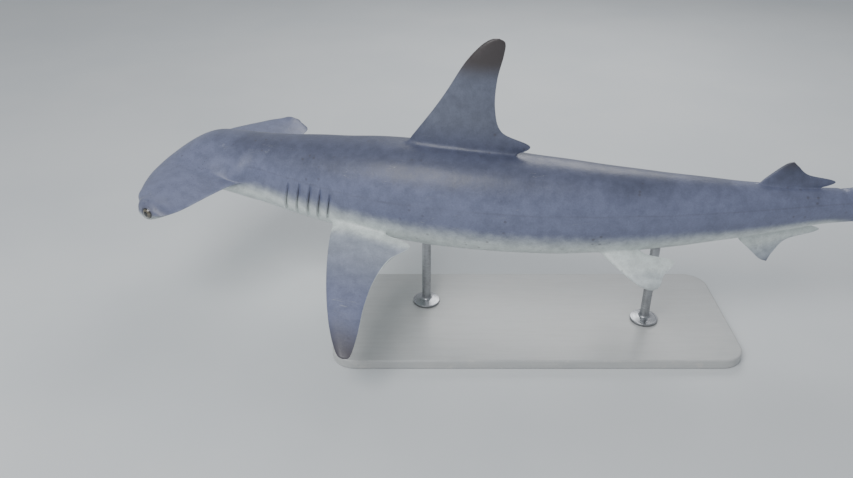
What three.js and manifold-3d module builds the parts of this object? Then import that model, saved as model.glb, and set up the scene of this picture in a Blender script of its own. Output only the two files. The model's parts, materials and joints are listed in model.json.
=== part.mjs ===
// A life-size smooth hammerhead shark, swimming with its front turned away, on a plain display stand.
// Millimetres, +Z up. The origin is the middle of the stand's underside. The snout points to -X and a
// little to +Y, so the shark's left side faces -Y.
//
// The animal is drawn straight first: a runs from the snout back along the body, l to the shark's
// left and z up from the body's axis, all as shares of the total length. bend() then lays it along
// the spine.
import * as THREE from "three";
import { mergeVertices } from "three/addons/utils/BufferGeometryUtils.js";
import Module from "manifold-3d";

const wasm = await Module();
wasm.setup();

// Driving dimensions.
const TOTAL_LENGTH = 2500; // tip of the snout to the tip of the tail
const AXIS_HEIGHT = 350; // the body's axis above the floor
const GAP = 0.3; // between nodes that touch
const STAND_STATION = 0.415; // the station of the body above the stand's middle

// The swimming bend: headings of the body's axis, in degrees from +X.
const HEAD_HEADING = -26.5;
const BODY_TURN = 30.5;
const BODY_TURN_FROM = 0.02;
const BODY_TURN_OVER = 0.7;
const TAIL_TURN = -16;
const TAIL_TURN_FROM = 0.68;
const TAIL_TURN_OVER = 0.32;

// Where the body is parted into nodes.
const NECK_CUT = 0.112;
const GILL_CUT = 0.228;
const TRUNK_CUT = 0.43;
const STALK_CUT = 0.6;
const CAUDAL_CUT = 0.72;

// How finely the surfaces are faceted.
const RING = 36; // points round the body
const BODY_ROWS_PER_LENGTH = 62;
const HEAD_ROWS = 14;
const LOBE_COLUMNS = 16;
const FIN_SIDE = 7;

const radians = THREE.MathUtils.degToRad;
const smooth = (x) => THREE.MathUtils.smoothstep(x, 0, 1);
const signedPower = (x, p) => Math.sign(x) * Math.abs(x) ** p;
const evenly = (from, to, count) => {
  return Array.from({ length: count }, (_, i) => from + ((to - from) * i) / (count - 1));
};

// A smooth curve through a few [station, value] pairs.
function profile(pairs) {
  const slopes = pairs.map((pair, i) => {
    const before = pairs[Math.max(0, i - 1)];
    const after = pairs[Math.min(pairs.length - 1, i + 1)];
    return (after[1] - before[1]) / (after[0] - before[0]);
  });
  return (x) => {
    let i = 0;
    while (i < pairs.length - 2 && x > pairs[i + 1][0]) i += 1;
    const [x0, y0] = pairs[i];
    const [x1, y1] = pairs[i + 1];
    const h = x1 - x0;
    const t = THREE.MathUtils.clamp((x - x0) / h, 0, 1);
    const u = 1 - t;
    const between = y0 * u * u * (1 + 2 * t) + y1 * t * t * (3 - 2 * t);
    return between + h * t * u * (slopes[i] * u - slopes[i + 1] * t);
  };
}

// A smooth plane curve through a few points, run through evenly as t goes from 0 to 1.
function path(points) {
  const last = points.length - 1;
  const first = profile(points.map((p, i) => [i / last, p[0]]));
  const second = profile(points.map((p, i) => [i / last, p[1]]));
  return (t) => [first(t), second(t)];
}

// The spine: the axis of the body, laid flat at one height.
const SPINE_STEPS = 600;

function heading(station) {
  const body = BODY_TURN * smooth((station - BODY_TURN_FROM) / BODY_TURN_OVER);
  const tail = TAIL_TURN * smooth((station - TAIL_TURN_FROM) / TAIL_TURN_OVER);
  return radians(HEAD_HEADING + body + tail);
}

function spinePoints() {
  const points = [new THREE.Vector2(0, 0)];
  for (let i = 0; i < SPINE_STEPS; i += 1) {
    const h = heading((i + 0.5) / SPINE_STEPS);
    const step = new THREE.Vector2(Math.cos(h), Math.sin(h)).divideScalar(SPINE_STEPS);
    points.push(step.add(points[i]));
  }
  return points;
}

const spine = spinePoints();

function spineAt(station) {
  const x = THREE.MathUtils.clamp(station, 0, 1) * SPINE_STEPS;
  const i = Math.min(SPINE_STEPS - 1, Math.floor(x));
  const point = spine[i].clone().lerp(spine[i + 1], x - i);
  const beyond = station - THREE.MathUtils.clamp(station, 0, 1);
  const h = heading(station);
  return point.add(new THREE.Vector2(Math.cos(h), Math.sin(h)).multiplyScalar(beyond));
}

const standPoint = spineAt(STAND_STATION);

// From the straight animal, in shares of its length, to the bent one, in millimetres.
function bend(a, l, z) {
  const at = spineAt(a).sub(standPoint);
  const h = heading(a);
  return new THREE.Vector3(
    (at.x + l * Math.sin(h)) * TOTAL_LENGTH,
    (at.y - l * Math.cos(h)) * TOTAL_LENGTH,
    z * TOTAL_LENGTH + AXIS_HEIGHT,
  );
}

// Closed surfaces become solids here, whichever way round their faces were listed.
function solidOf(geometry) {
  const bare = geometry.clone();
  bare.deleteAttribute("normal");
  bare.deleteAttribute("uv");
  const merged = mergeVertices(bare, 1e-3);
  const position = merged.getAttribute("position");
  const corner = (i) => new THREE.Vector3().fromBufferAttribute(position, i);
  const triangles = [];
  let volume = 0;
  for (let i = 0; i < merged.index.count; i += 3) {
    const [p, q, r] = [0, 1, 2].map((k) => merged.index.getX(i + k));
    if (p !== q && q !== r && r !== p) {
      triangles.push([p, q, r]);
      volume += corner(p).dot(corner(q).cross(corner(r)));
    }
  }
  const facing = volume < 0 ? triangles.map(([p, q, r]) => [p, r, q]) : triangles;
  const mesh = new wasm.Mesh({
    numProp: 3,
    vertProperties: new Float32Array(position.array),
    triVerts: new Uint32Array(facing.flat()),
  });
  return new wasm.Manifold(mesh);
}

function geometryFrom(points, faces) {
  const geometry = new THREE.BufferGeometry();
  const numbers = points.flatMap((p) => [p.x, p.y, p.z]);
  geometry.setAttribute("position", new THREE.Float32BufferAttribute(numbers, 3));
  geometry.setIndex(faces.flat());
  return geometry;
}

// A skin over rings of equal size, closed at both ends.
function loftSolid(rings) {
  const size = rings[0].length;
  const points = rings.flat();
  const faces = [];
  for (let j = 0; j < rings.length - 1; j += 1) {
    for (let k = 0; k < size; k += 1) {
      const next = (k + 1) % size;
      const [p, q] = [j * size + k, j * size + next];
      faces.push([p, q, q + size], [p, q + size, p + size]);
    }
  }
  [0, rings.length - 1].forEach((j) => {
    const centre = rings[j].reduce((sum, p) => sum.add(p), new THREE.Vector3()).divideScalar(size);
    points.push(centre);
    for (let k = 0; k < size; k += 1) {
      const [p, q] = [j * size + k, j * size + ((k + 1) % size)];
      faces.push(j === 0 ? [points.length - 1, q, p] : [points.length - 1, p, q]);
    }
  });
  return solidOf(geometryFrom(points, faces));
}

// Boolean work leaves one body: its largest piece.
function largest(solid) {
  return solid.decompose().reduce((best, piece) => (piece.volume() > best.volume() ? piece : best));
}

function meshOf(name, solid, material) {
  const made = solid.getMesh();
  const geometry = new THREE.BufferGeometry();
  const points = [];
  for (let i = 0; i < made.numVert; i += 1) {
    points.push(...made.vertProperties.subarray(i * made.numProp, i * made.numProp + 3));
  }
  geometry.setAttribute("position", new THREE.Float32BufferAttribute(points, 3));
  geometry.setIndex([...made.triVerts]);
  geometry.computeVertexNormals();
  const mesh = new THREE.Mesh(geometry, material);
  mesh.name = name;
  return mesh;
}

// The body behind the neck: half-width, back, belly and the level of its widest line.
const bodyWidth = profile([
  [0.112, 0.0392], [0.12, 0.0379], [0.135, 0.0383], [0.16, 0.0405], [0.2, 0.0435], [0.25, 0.0465],
  [0.3, 0.0472], [0.36, 0.0452], [0.42, 0.041], [0.5, 0.0338], [0.58, 0.0254], [0.64, 0.019],
  [0.69, 0.014], [0.72, 0.012],
]);
const bodyBack = profile([
  [0.112, 0.0387], [0.125, 0.0408], [0.16, 0.0455], [0.2, 0.0505], [0.25, 0.0562], [0.29, 0.0585],
  [0.34, 0.058], [0.42, 0.0525], [0.5, 0.0445], [0.58, 0.0354], [0.64, 0.0286], [0.69, 0.0235],
  [0.72, 0.0218],
]);
const bodyBelly = profile([
  [0.112, 0.0322], [0.125, 0.0338], [0.16, 0.038], [0.2, 0.042], [0.28, 0.0462], [0.34, 0.0472],
  [0.42, 0.0455], [0.5, 0.0398], [0.58, 0.0304], [0.64, 0.022], [0.69, 0.0148], [0.72, 0.0128],
]);
const bodyMiddle = profile([
  [0.112, 0], [0.13, 0.0002], [0.2, 0.002], [0.3, 0.0035], [0.5, 0.003], [0.72, 0.0045],
]);
const SECTION_POWER = 2.2; // 2 is an ellipse, and more is squarer

// Gill slits: five a side, each behind a low raised flap.
const GILL_STATIONS = [0.1605, 0.1735, 0.1865, 0.1985, 0.2095];
const GILL_HALF_ANGLES = [25, 27, 27, 25, 20];
const GILL_MIDDLE_ANGLE = -12;
const GILL_FLAP = 0.0016;
const GILL_DEPTH = 0.0024;
const GILL_REACH = 0.0085;
const GILL_LEAN = 0.012; // how far a slit's top lies behind its foot, per radian

function gillRelief(station, angle) {
  return GILL_STATIONS.reduce((sum, slit, i) => {
    const across = (angle - radians(GILL_MIDDLE_ANGLE)) / radians(GILL_HALF_ANGLES[i]);
    if (Math.abs(across) >= 1) return sum;
    const share = 1 - across ** 4;
    const behind = (station - slit) / GILL_REACH;
    if (behind <= 0 && behind > -1) return sum + share * GILL_FLAP * (1 + behind) ** 1.5;
    if (behind > 0 && behind < 0.5) return sum - share * GILL_DEPTH * (1 - behind / 0.5);
    return sum;
  }, 0);
}

// A notch in the back just before the tail fin.
const PIT_STATION = 0.7125;
const PIT_LENGTH = 0.0032;
const PIT_DEPTH = 0.0017;

// One point of the body's skin. The angle is 0 at the shark's left and 90 degrees on the back.
function bodyPoint(station, angle, grow = 0) {
  const c = Math.cos(angle);
  const q = Math.sin(angle);
  const fromSide = Math.atan2(q, Math.abs(c));
  const lean = smooth((station - NECK_CUT) / 0.025) * smooth((GILL_CUT - station) / 0.01);
  const above = (fromSide - radians(GILL_MIDDLE_ANGLE)) * Math.cos(fromSide) ** 2;
  const a = station + lean * GILL_LEAN * above;
  const out = grow / TOTAL_LENGTH + gillRelief(station, fromSide);
  const power = 2 / SECTION_POWER;
  const middle = bodyMiddle(a);
  const pit = PIT_DEPTH * Math.exp(-(((a - PIT_STATION) / PIT_LENGTH) ** 2)) * Math.max(0, q) ** 6;
  const half = (q > 0 ? bodyBack(a) - middle : bodyBelly(a) + middle) - pit;
  const l = (bodyWidth(a) + out) * signedPower(c, power);
  const z = middle + (half + out) * signedPower(q, power);
  return bend(a, l, z);
}

// Rows of points along the body: even ones, and closer ones at the slits and the notch.
function bodyStations(from, to) {
  const count = Math.max(3, Math.round((to - from) * BODY_ROWS_PER_LENGTH));
  const even = evenly(from, to, count + 1);
  const within = (s) => s > from && s < to;
  const edge = 0.0003;
  const slits = GILL_STATIONS.flatMap((g) => {
    return [g - GILL_REACH * 0.55, g - edge, g + edge, g + GILL_REACH * 0.42];
  });
  const pit = [-1.3, -0.6, 0, 0.6, 1.3].map((k) => PIT_STATION + PIT_LENGTH * k);
  const close = [slits, pit].map((rows) => rows.filter(within)).filter((rows) => rows.length);
  const open = (s) => close.every((rows) => s < rows[0] - 0.0015 || s > rows.at(-1) + 0.0015);
  return [...even.filter(open), ...close.flat()].sort((p, q) => p - q);
}

function bodyRing(station, grow = 0) {
  return Array.from({ length: RING }, (_, k) => bodyPoint(station, (2 * Math.PI * k) / RING, grow));
}

function bodyLength(from, to) {
  const trim = GAP / 2 / TOTAL_LENGTH;
  return loftSolid(bodyStations(from + trim, to - trim).map((s) => bodyRing(s)));
}

// What fins and rods are cut back to: the whole body, a gap larger all round.
function bodyCutter() {
  const cuts = [NECK_CUT, GILL_CUT, TRUNK_CUT, STALK_CUT, CAUDAL_CUT];
  const stations = cuts.slice(1).flatMap((to, i) => bodyStations(cuts[i], to).slice(i ? 1 : 0));
  return loftSolid(stations.map((s) => bodyRing(s, GAP)));
}

// The hammer: [a, l] outlines of its left half, run through together from the middle outwards.
const HALF_SPAN = 0.1325;
const frontMiddle = path([[0, 0], [0.0004, 0.02], [0.0027, 0.04], [0.0075, 0.06]]);
const frontLobe = path([
  [0.0075, 0.06], [0.0093, 0.0655], [0.012, 0.0725], [0.0155, 0.0805], [0.0203, 0.09],
  [0.0262, 0.1002], [0.0325, 0.1105], [0.0428, 0.1197], [0.0498, 0.1285], [0.0645, HALF_SPAN],
]);
const rearLobe = path([
  [NECK_CUT, 0.0392], [0.1065, 0.0432], [0.1027, 0.0505], [0.1, 0.06], [0.0975, 0.072],
  [0.0943, 0.0875], [0.0908, 0.106], [0.0863, 0.12], [0.078, 0.1293], [0.0645, HALF_SPAN],
]);
const NECK_COLUMNS = RING / 4;

// Half-thickness of the wings, and height of the head's own ridge over and under them.
const wingThickness = profile([
  [0, 0.0135], [0.05, 0.0125], [0.08, 0.0108], [0.11, 0.0101], [HALF_SPAN, 0.0102],
]);
const ridgeBack = profile([
  [0, 0.014], [0.02, 0.0232], [0.05, 0.0318], [0.08, 0.036], [NECK_CUT, 0.0387],
]);
const ridgeBelly = profile([
  [0, 0.008], [0.03, 0.0145], [0.06, 0.0218], [0.09, 0.0286], [NECK_CUT, 0.0322],
]);
const backWidth = profile([
  [0, 0.064], [0.05, 0.058], [0.085, 0.0495], [0.103, 0.0438], [NECK_CUT, 0.0392],
]);
const bellyWidth = profile([
  [0, 0.076], [0.05, 0.07], [0.085, 0.054], [0.103, 0.0445], [NECK_CUT, 0.0392],
]);
const ridgeFlank = profile([
  [0, 1.5], [0.06, 1.3], [0.085, 1], [0.102, 0.62], [NECK_CUT, 1 / SECTION_POWER],
]);
const NOSE_SHARE = 0.42; // of each column, from the front edge to where the ridge has its height
const WING_UNDER = 0.92; // the wing's underside is a little flatter

// The eyes sit in the ends of the wings, which swell a little round them.
const EYE_STATION = 0.063;
const EYE_RADIUS = 0.0073;
const EYE_OUT = 0.1264;
const EYE_LEVEL = -0.0036;
const EYE_SWELLING = 0.0016;
const EYE_SWELLING_REACH = 0.014;
const LID_RADIUS = 0.0062;
const LID_THICKNESS = 0.0012;
const LID_OUT = 0.0041;

const WING_DROOP = 0.004;
const TIP_ROUNDING = 0.011;
const BLEND_POWER = 3;

// Thickness along a chord, from 0 at the front edge through 1 to 0 at the rear edge.
function foil(v) {
  const half = 0.2969 * Math.sqrt(v) - 0.126 * v - 0.3516 * v ** 2 + 0.2843 * v ** 3 - 0.1036 * v ** 4;
  return 10 * Math.max(0, half);
}

function headPoint({ front, rear, open }, v, side) {
  const a = front[0] + (rear[0] - front[0]) * v;
  const l = front[1] + (rear[1] - front[1]) * v;
  const across = Math.min(1, l / (side > 0 ? backWidth(a) : bellyWidth(a)));
  const shoulder = Math.max(0, 1 - across ** SECTION_POWER) ** ridgeFlank(a);
  const nose = Math.sqrt(1 - (1 - Math.min(1, v / NOSE_SHARE)) ** 2);
  const close = open ? 1 : Math.sqrt(Math.min(1, (1 - v) / 0.014));
  const fromTip = Math.max(0, (l - (HALF_SPAN - TIP_ROUNDING)) / TIP_ROUNDING);
  const tip = Math.sqrt(Math.max(0, 1 - fromTip ** 2));
  const fromEye = Math.hypot(a - EYE_STATION, l - EYE_OUT) / EYE_SWELLING_REACH;
  const swelling = EYE_SWELLING * Math.exp(-(fromEye ** 2)) * Math.sqrt(4 * v * (1 - v));
  const wing = (wingThickness(l) * foil(v) + swelling) * tip * (side > 0 ? 1 : WING_UNDER);
  const ridge = (side > 0 ? ridgeBack(a) : ridgeBelly(a)) * shoulder * nose * close;
  const height = (wing ** BLEND_POWER + ridge ** BLEND_POWER) ** (1 / BLEND_POWER);
  const droop = WING_DROOP * (l / HALF_SPAN) ** 2 * (1 - smooth((a - 0.09) / (NECK_CUT - 0.09)));
  return [a, l, side * height - droop];
}

// The outline ends of each column of the head, from the middle to the tip.
function headColumns() {
  const columns = [];
  const cut = NECK_CUT - GAP / 2 / TOTAL_LENGTH;
  for (let k = 0; k < NECK_COLUMNS; k += 1) {
    const angle = (Math.PI / 2) * (1 - k / NECK_COLUMNS);
    const l = bodyWidth(NECK_CUT) * Math.cos(angle) ** (2 / SECTION_POWER);
    columns.push({ front: frontMiddle(k / NECK_COLUMNS), rear: [cut, l], open: true });
  }
  for (let k = 0; k <= LOBE_COLUMNS; k += 1) {
    const t = k / LOBE_COLUMNS;
    const rear = rearLobe(t);
    columns.push({ front: frontLobe(t), rear: [Math.min(rear[0], cut), rear[1]], open: false });
  }
  return columns;
}

function headShell() {
  const points = [];
  const faces = [];
  const columns = headColumns();
  [1, -1].forEach((mirror) => {
    [1, -1].forEach((side) => {
      const base = points.length;
      columns.forEach((column) => {
        for (let j = 0; j <= HEAD_ROWS; j += 1) {
          const v = (1 - Math.cos((Math.PI * j) / HEAD_ROWS)) / 2;
          const [a, l, z] = headPoint(column, v, side);
          points.push(bend(a, mirror * l, z));
        }
      });
      const at = (k, j) => base + k * (HEAD_ROWS + 1) + j;
      for (let k = 0; k < columns.length - 1; k += 1) {
        for (let j = 0; j < HEAD_ROWS; j += 1) {
          const quad = [at(k, j), at(k + 1, j), at(k + 1, j + 1), at(k, j + 1)];
          if (mirror * side < 0) quad.reverse();
          faces.push([quad[0], quad[1], quad[2]], [quad[0], quad[2], quad[3]]);
        }
      }
      const centre = points.push(bend(columns[0].rear[0], 0, 0)) - 1;
      for (let k = 0; k < NECK_COLUMNS; k += 1) {
        const edge = [centre, at(k, HEAD_ROWS), at(k + 1, HEAD_ROWS)];
        faces.push(mirror * side > 0 ? edge : edge.reverse());
      }
    });
  });
  return solidOf(geometryFrom(points, faces));
}

// A round bar along a curve given as points of the straight animal, thinner at both ends.
function barAlong(points, radius, sides = 6) {
  const curve = new THREE.CatmullRomCurve3(points.map((p) => bend(...p)));
  const steps = points.length * 2;
  const frames = curve.computeFrenetFrames(steps, false);
  const rings = [];
  for (let j = 0; j <= steps; j += 1) {
    const middle = curve.getPointAt(j / steps);
    const r = radius * TOTAL_LENGTH * (0.25 + 0.75 * Math.sin((Math.PI * j) / steps) ** 0.5);
    rings.push(
      Array.from({ length: sides }, (_, k) => {
        const angle = (2 * Math.PI * k) / sides;
        return middle
          .clone()
          .addScaledVector(frames.normals[j], r * Math.cos(angle))
          .addScaledVector(frames.binormals[j], r * Math.sin(angle));
      }),
    );
  }
  return loftSolid(rings);
}

// The mouth is a wide arch under the head, with a lower jaw that stands a little proud.
const MOUTH_FRONT = 0.0625;
const MOUTH_CORNER = 0.0905;
const MOUTH_HALF_WIDTH = 0.0325;
const MOUTH_GROOVE = 0.0013;
const GROOVE_SHIFT = [0.0012, -0.0001]; // back and up from the line of the mouth
const LIP_RADIUS = 0.0017;
const LIP_SHIFT = [0.0042, 0.0004];
const REAR_OF_WING = 0.105;

function underHead(a, l) {
  const across = Math.min(1, Math.abs(l) / bellyWidth(a));
  const ridge = ridgeBelly(a) * (1 - across ** SECTION_POWER) ** ridgeFlank(a);
  const wing = wingThickness(Math.abs(l)) * foil(a / REAR_OF_WING) * WING_UNDER;
  return -((wing ** BLEND_POWER + ridge ** BLEND_POWER) ** (1 / BLEND_POWER));
}

function mouthLine([back, up]) {
  return evenly(-1, 1, 9).map((x) => {
    const a = MOUTH_FRONT + back + (MOUTH_CORNER - MOUTH_FRONT) * Math.abs(x) ** 2.2;
    const l = x * (MOUTH_HALF_WIDTH - back * 0.8);
    return [a, l, underHead(a, l) + up];
  });
}

// Eyes at the ends of the hammer, with a raised lid round each.
function eyeCentre(mirror) {
  return bend(EYE_STATION, mirror * EYE_OUT, EYE_LEVEL);
}

function eyeball(mirror, grow) {
  const ball = new THREE.SphereGeometry(EYE_RADIUS * TOTAL_LENGTH + grow, 18, 12);
  const centre = eyeCentre(mirror);
  ball.translate(centre.x, centre.y, centre.z);
  return solidOf(ball);
}

// A round form about the eye's own axis, moved out from the eye's middle.
function aboutEye(geometry, mirror, out) {
  const centre = eyeCentre(mirror);
  const outward = bend(EYE_STATION, mirror * 2 * EYE_OUT, EYE_LEVEL).sub(centre).normalize();
  const turn = new THREE.Quaternion().setFromUnitVectors(new THREE.Vector3(0, 0, 1), outward);
  geometry.applyQuaternion(turn);
  centre.addScaledVector(outward, out * TOTAL_LENGTH);
  return solidOf(geometry.translate(centre.x, centre.y, centre.z));
}

function eyelid(mirror) {
  const ring = new THREE.TorusGeometry(LID_RADIUS * TOTAL_LENGTH, LID_THICKNESS * TOTAL_LENGTH, 6, 20);
  return aboutEye(ring, mirror, LID_OUT);
}

function eyeOpening(mirror) {
  const radius = (LID_RADIUS - LID_THICKNESS / 2) * TOTAL_LENGTH;
  const depth = EYE_RADIUS * TOTAL_LENGTH;
  const plug = new THREE.CylinderGeometry(radius, radius, depth, 20).rotateX(Math.PI / 2);
  return aboutEye(plug, mirror, LID_OUT + EYE_RADIUS / 2);
}

// Nostrils: a slit near each corner of the front edge, with a groove that runs in towards the snout.
const NOSTRIL_OUTER = 0.93;
const NOSTRIL_INNER = 0.5;
const NOSTRIL_GROOVE = 0.0011;
const NOSTRIL_SLIT = 0.0022;

function frontEdge(t, mirror, inset, drop) {
  const [a, l] = frontLobe(t);
  return [a + inset, mirror * l, -drop - WING_DROOP * (l / HALF_SPAN) ** 2];
}

function nostril(mirror) {
  const groove = evenly(0, 1, 5).map((k) =>
    frontEdge(NOSTRIL_INNER + (NOSTRIL_OUTER - 0.14 - NOSTRIL_INNER) * k, mirror, 0.0002, 0.0008),
  );
  const slit = evenly(0, 1, 4).map((k) =>
    frontEdge(NOSTRIL_OUTER - 0.16 + 0.13 * k, mirror, 0.0006 + 0.004 * k, 0.0015 + 0.0052 * k),
  );
  return barAlong(groove, NOSTRIL_GROOVE, 5).add(barAlong(slit, NOSTRIL_SLIT, 6));
}

function headSolid() {
  let head = headShell();
  head = head.add(barAlong(mouthLine(LIP_SHIFT), LIP_RADIUS));
  head = head.subtract(barAlong(mouthLine(GROOVE_SHIFT), MOUTH_GROOVE));
  [1, -1].forEach((mirror) => {
    head = head.subtract(eyeOpening(mirror)).add(eyelid(mirror)).subtract(eyeball(mirror, GAP));
    head = head.subtract(nostril(mirror));
  });
  return largest(head);
}

// A fin is a stack of foil sections between a front and a rear edge, both [along, out] curves.
function finRows(count) {
  const even = Array.from({ length: count }, (_, j) => j / count);
  return [...even, 1 - 0.45 / count, 1 - 0.12 / count];
}

function finSolid({ lead, trail, half, rows, place }) {
  const front = path(lead);
  const rear = path(trail);
  const rings = finRows(rows).map((t) => {
    const [f, r] = [front(t), rear(t)];
    const thick = (half[0] + (half[1] - half[0]) * t ** 0.8) * Math.sqrt(1 - t ** 8);
    return Array.from({ length: 2 * FIN_SIDE }, (_, k) => {
      const side = k <= FIN_SIDE ? 1 : -1;
      const v = (1 - Math.cos((Math.PI * k) / FIN_SIDE)) / 2;
      return bend(...place(f[0] + (r[0] - f[0]) * v, f[1] + (r[1] - f[1]) * v, side * thick * foil(v)));
    });
  });
  const tip = bend(...place(...front(1), 0));
  rings.push(rings[0].map(() => tip.clone()));
  return loftSolid(rings);
}

// Fins in the shark's own middle plane: along is the station and out the height.
const upright = (along, out, w) => [along, w, out];

const firstDorsal = {
  lead: [
    [0.267, 0.046], [0.2795, 0.0585], [0.3005, 0.0865], [0.3205, 0.1165], [0.3368, 0.1435],
    [0.3498, 0.1592], [0.3598, 0.1662], [0.3675, 0.1672],
  ],
  trail: [
    [0.364, 0.046], [0.402, 0.0635], [0.374, 0.0775], [0.3665, 0.1], [0.3672, 0.128],
    [0.3722, 0.1525], [0.3728, 0.1636], [0.3675, 0.1672],
  ],
  half: [0.0064, 0.0018],
  rows: 14,
  place: upright,
};
const secondDorsal = {
  lead: [[0.614, 0.018], [0.6235, 0.0305], [0.637, 0.0425], [0.6475, 0.0508], [0.6545, 0.053]],
  trail: [[0.65, 0.016], [0.701, 0.0292], [0.672, 0.039], [0.66, 0.0482], [0.6545, 0.053]],
  half: [0.0036, 0.0012],
  rows: 8,
  place: upright,
};
const analFin = {
  lead: [[0.602, -0.016], [0.6135, -0.0275], [0.63, -0.0425], [0.643, -0.0545], [0.6515, -0.0583]],
  trail: [[0.658, -0.01], [0.698, -0.0218], [0.6665, -0.0325], [0.6555, -0.0475], [0.6515, -0.0583]],
  half: [0.0036, 0.0012],
  rows: 8,
  place: upright,
};

// Paired fins lie on a slope: out runs outwards and down from the root, and dips more at the tip.
function sloped(root, fall, curl, mirror) {
  const c = Math.cos(radians(fall));
  const s = Math.sin(radians(fall));
  return (along, out, w) => {
    const dip = curl * Math.max(0, out) ** 2;
    return [root[0] + along, mirror * (root[1] + out * c + w * s), root[2] - out * s + w * c - dip];
  };
}

const PECTORAL_ROOT = [0.2125, 0.037, -0.0265];
const PECTORAL_FALL = 19;
const PECTORAL_CURL = 0.9;

function pectoral(mirror) {
  return {
    lead: [
      [-0.004, -0.02], [0, 0.002], [0.0075, 0.03], [0.0165, 0.057], [0.0265, 0.083],
      [0.037, 0.107], [0.047, 0.1255], [0.0545, 0.1358], [0.06, 0.138],
    ],
    trail: [
      [0.05, -0.02], [0.0555, 0.0015], [0.0845, 0.0135], [0.0705, 0.034], [0.0635, 0.06],
      [0.0628, 0.087], [0.0655, 0.1135], [0.0652, 0.1345], [0.06, 0.138],
    ],
    half: [0.0068, 0.0017],
    rows: 16,
    place: sloped(PECTORAL_ROOT, PECTORAL_FALL, PECTORAL_CURL, mirror),
  };
}

const PELVIC_ROOT = [0.474, 0.0225, -0.0335];
const PELVIC_FALL = 34;

function pelvic(mirror) {
  return {
    lead: [
      [-0.004, -0.012], [0.003, 0.002], [0.0195, 0.0195], [0.034, 0.033], [0.0425, 0.0382],
      [0.0485, 0.0395],
    ],
    trail: [
      [0.04, -0.012], [0.0435, 0.0005], [0.0715, 0.0085], [0.0605, 0.0235], [0.055, 0.0355],
      [0.0485, 0.0395],
    ],
    half: [0.0045, 0.0013],
    rows: 10,
    place: sloped(PELVIC_ROOT, PELVIC_FALL, 0, mirror),
  };
}

// The tail fin. The body turns up into the long upper lobe, thick along its top and thin along its
// rear edge, which has a notch near the tip. The short lower lobe hangs from it.
const caudalTop = profile([
  [CAUDAL_CUT, 0.0218], [0.742, 0.0262], [0.77, 0.0368], [0.81, 0.0545], [0.86, 0.0775],
  [0.91, 0.1005], [0.955, 0.1205], [0.983, 0.132], [1, 0.1355],
]);
const caudalBottom = profile([
  [CAUDAL_CUT, -0.0128], [0.742, -0.0112], [0.77, -0.0042], [0.81, 0.0098], [0.86, 0.0335],
  [0.91, 0.0592], [0.938, 0.0752], [0.9455, 0.0778], [0.956, 0.0712], [0.9665, 0.0735],
  [0.982, 0.0985], [1, 0.1355],
]);
const caudalWidth = profile([
  [CAUDAL_CUT, 0.012], [0.76, 0.009], [0.8, 0.0068], [0.88, 0.0046], [0.95, 0.0029], [1, 0.0009],
]);
const CAUDAL_STATIONS = [...evenly(0.732, 0.926, 13), ...evenly(0.938, 0.996, 11)];
const CAUDAL_RING = 24;

function caudalRing(station, grow) {
  const [top, bottom] = [caudalTop(station), caudalBottom(station)];
  const flat = smooth((station - CAUDAL_CUT) / 0.075);
  const extra = grow / TOTAL_LENGTH;
  return Array.from({ length: CAUDAL_RING }, (_, k) => {
    const angle = (2 * Math.PI * k) / CAUDAL_RING;
    const q = signedPower(Math.sin(angle), 2 / SECTION_POWER);
    const c = signedPower(Math.cos(angle), 2 / SECTION_POWER);
    const web = Math.sign(c) * foil((1 - q) / 2);
    const l = caudalWidth(station) * (c * (1 - flat) + web * flat) + extra * c;
    return bend(station, l, (top + bottom) / 2 + ((top - bottom) / 2 + extra) * q);
  });
}

function upperSolid(grow) {
  const stations = [CAUDAL_CUT + GAP / 2 / TOTAL_LENGTH, ...CAUDAL_STATIONS];
  const tip = Array.from({ length: CAUDAL_RING }, () => bend(1, 0, caudalTop(1)));
  return loftSolid([...stations.map((s) => caudalRing(s, grow)), tip]);
}

const lowerLobe = {
  lead: [
    [0.7275, 0.004], [0.7315, -0.0135], [0.745, -0.0415], [0.7635, -0.0735], [0.777, -0.0945],
    [0.784, -0.1025], [0.7905, -0.1053],
  ],
  trail: [
    [0.828, 0.034], [0.8125, 0.0095], [0.797, -0.0185], [0.7928, -0.052], [0.795, -0.082],
    [0.7955, -0.0985], [0.7905, -0.1053],
  ],
  half: [0.0056, 0.0014],
  rows: 12,
  place: upright,
};

// The display stand: a flat base and two rods with feet, just long enough to lift the tail clear.
const BASE_LENGTH = 1040;
const BASE_WIDTH = 400;
const BASE_THICKNESS = 26;
const BASE_CORNER = 60;
const BASE_BEVEL = 4;
const ROD_RADIUS = 12;
const ROD_FOOT_RADIUS = 36;
const ROD_FOOT_HEIGHT = 12;
const ROD_STATIONS = { front: 0.3, rear: 0.535 };

function standBase() {
  const outline = new THREE.Shape();
  const [x, y] = [BASE_LENGTH / 2 - BASE_BEVEL, BASE_WIDTH / 2 - BASE_BEVEL];
  const r = BASE_CORNER;
  outline.moveTo(-x + r, -y);
  outline.lineTo(x - r, -y);
  outline.absarc(x - r, -y + r, r, -Math.PI / 2, 0);
  outline.lineTo(x, y - r);
  outline.absarc(x - r, y - r, r, 0, Math.PI / 2);
  outline.lineTo(-x + r, y);
  outline.absarc(-x + r, y - r, r, Math.PI / 2, Math.PI);
  outline.lineTo(-x, -y + r);
  outline.absarc(-x + r, -y + r, r, Math.PI, 1.5 * Math.PI);
  const plate = new THREE.ExtrudeGeometry(outline, {
    depth: BASE_THICKNESS - 2 * BASE_BEVEL,
    bevelThickness: BASE_BEVEL,
    bevelSize: BASE_BEVEL,
    bevelSegments: 2,
    curveSegments: 6,
  });
  plate.translate(0, 0, BASE_BEVEL);
  return solidOf(plate);
}

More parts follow.
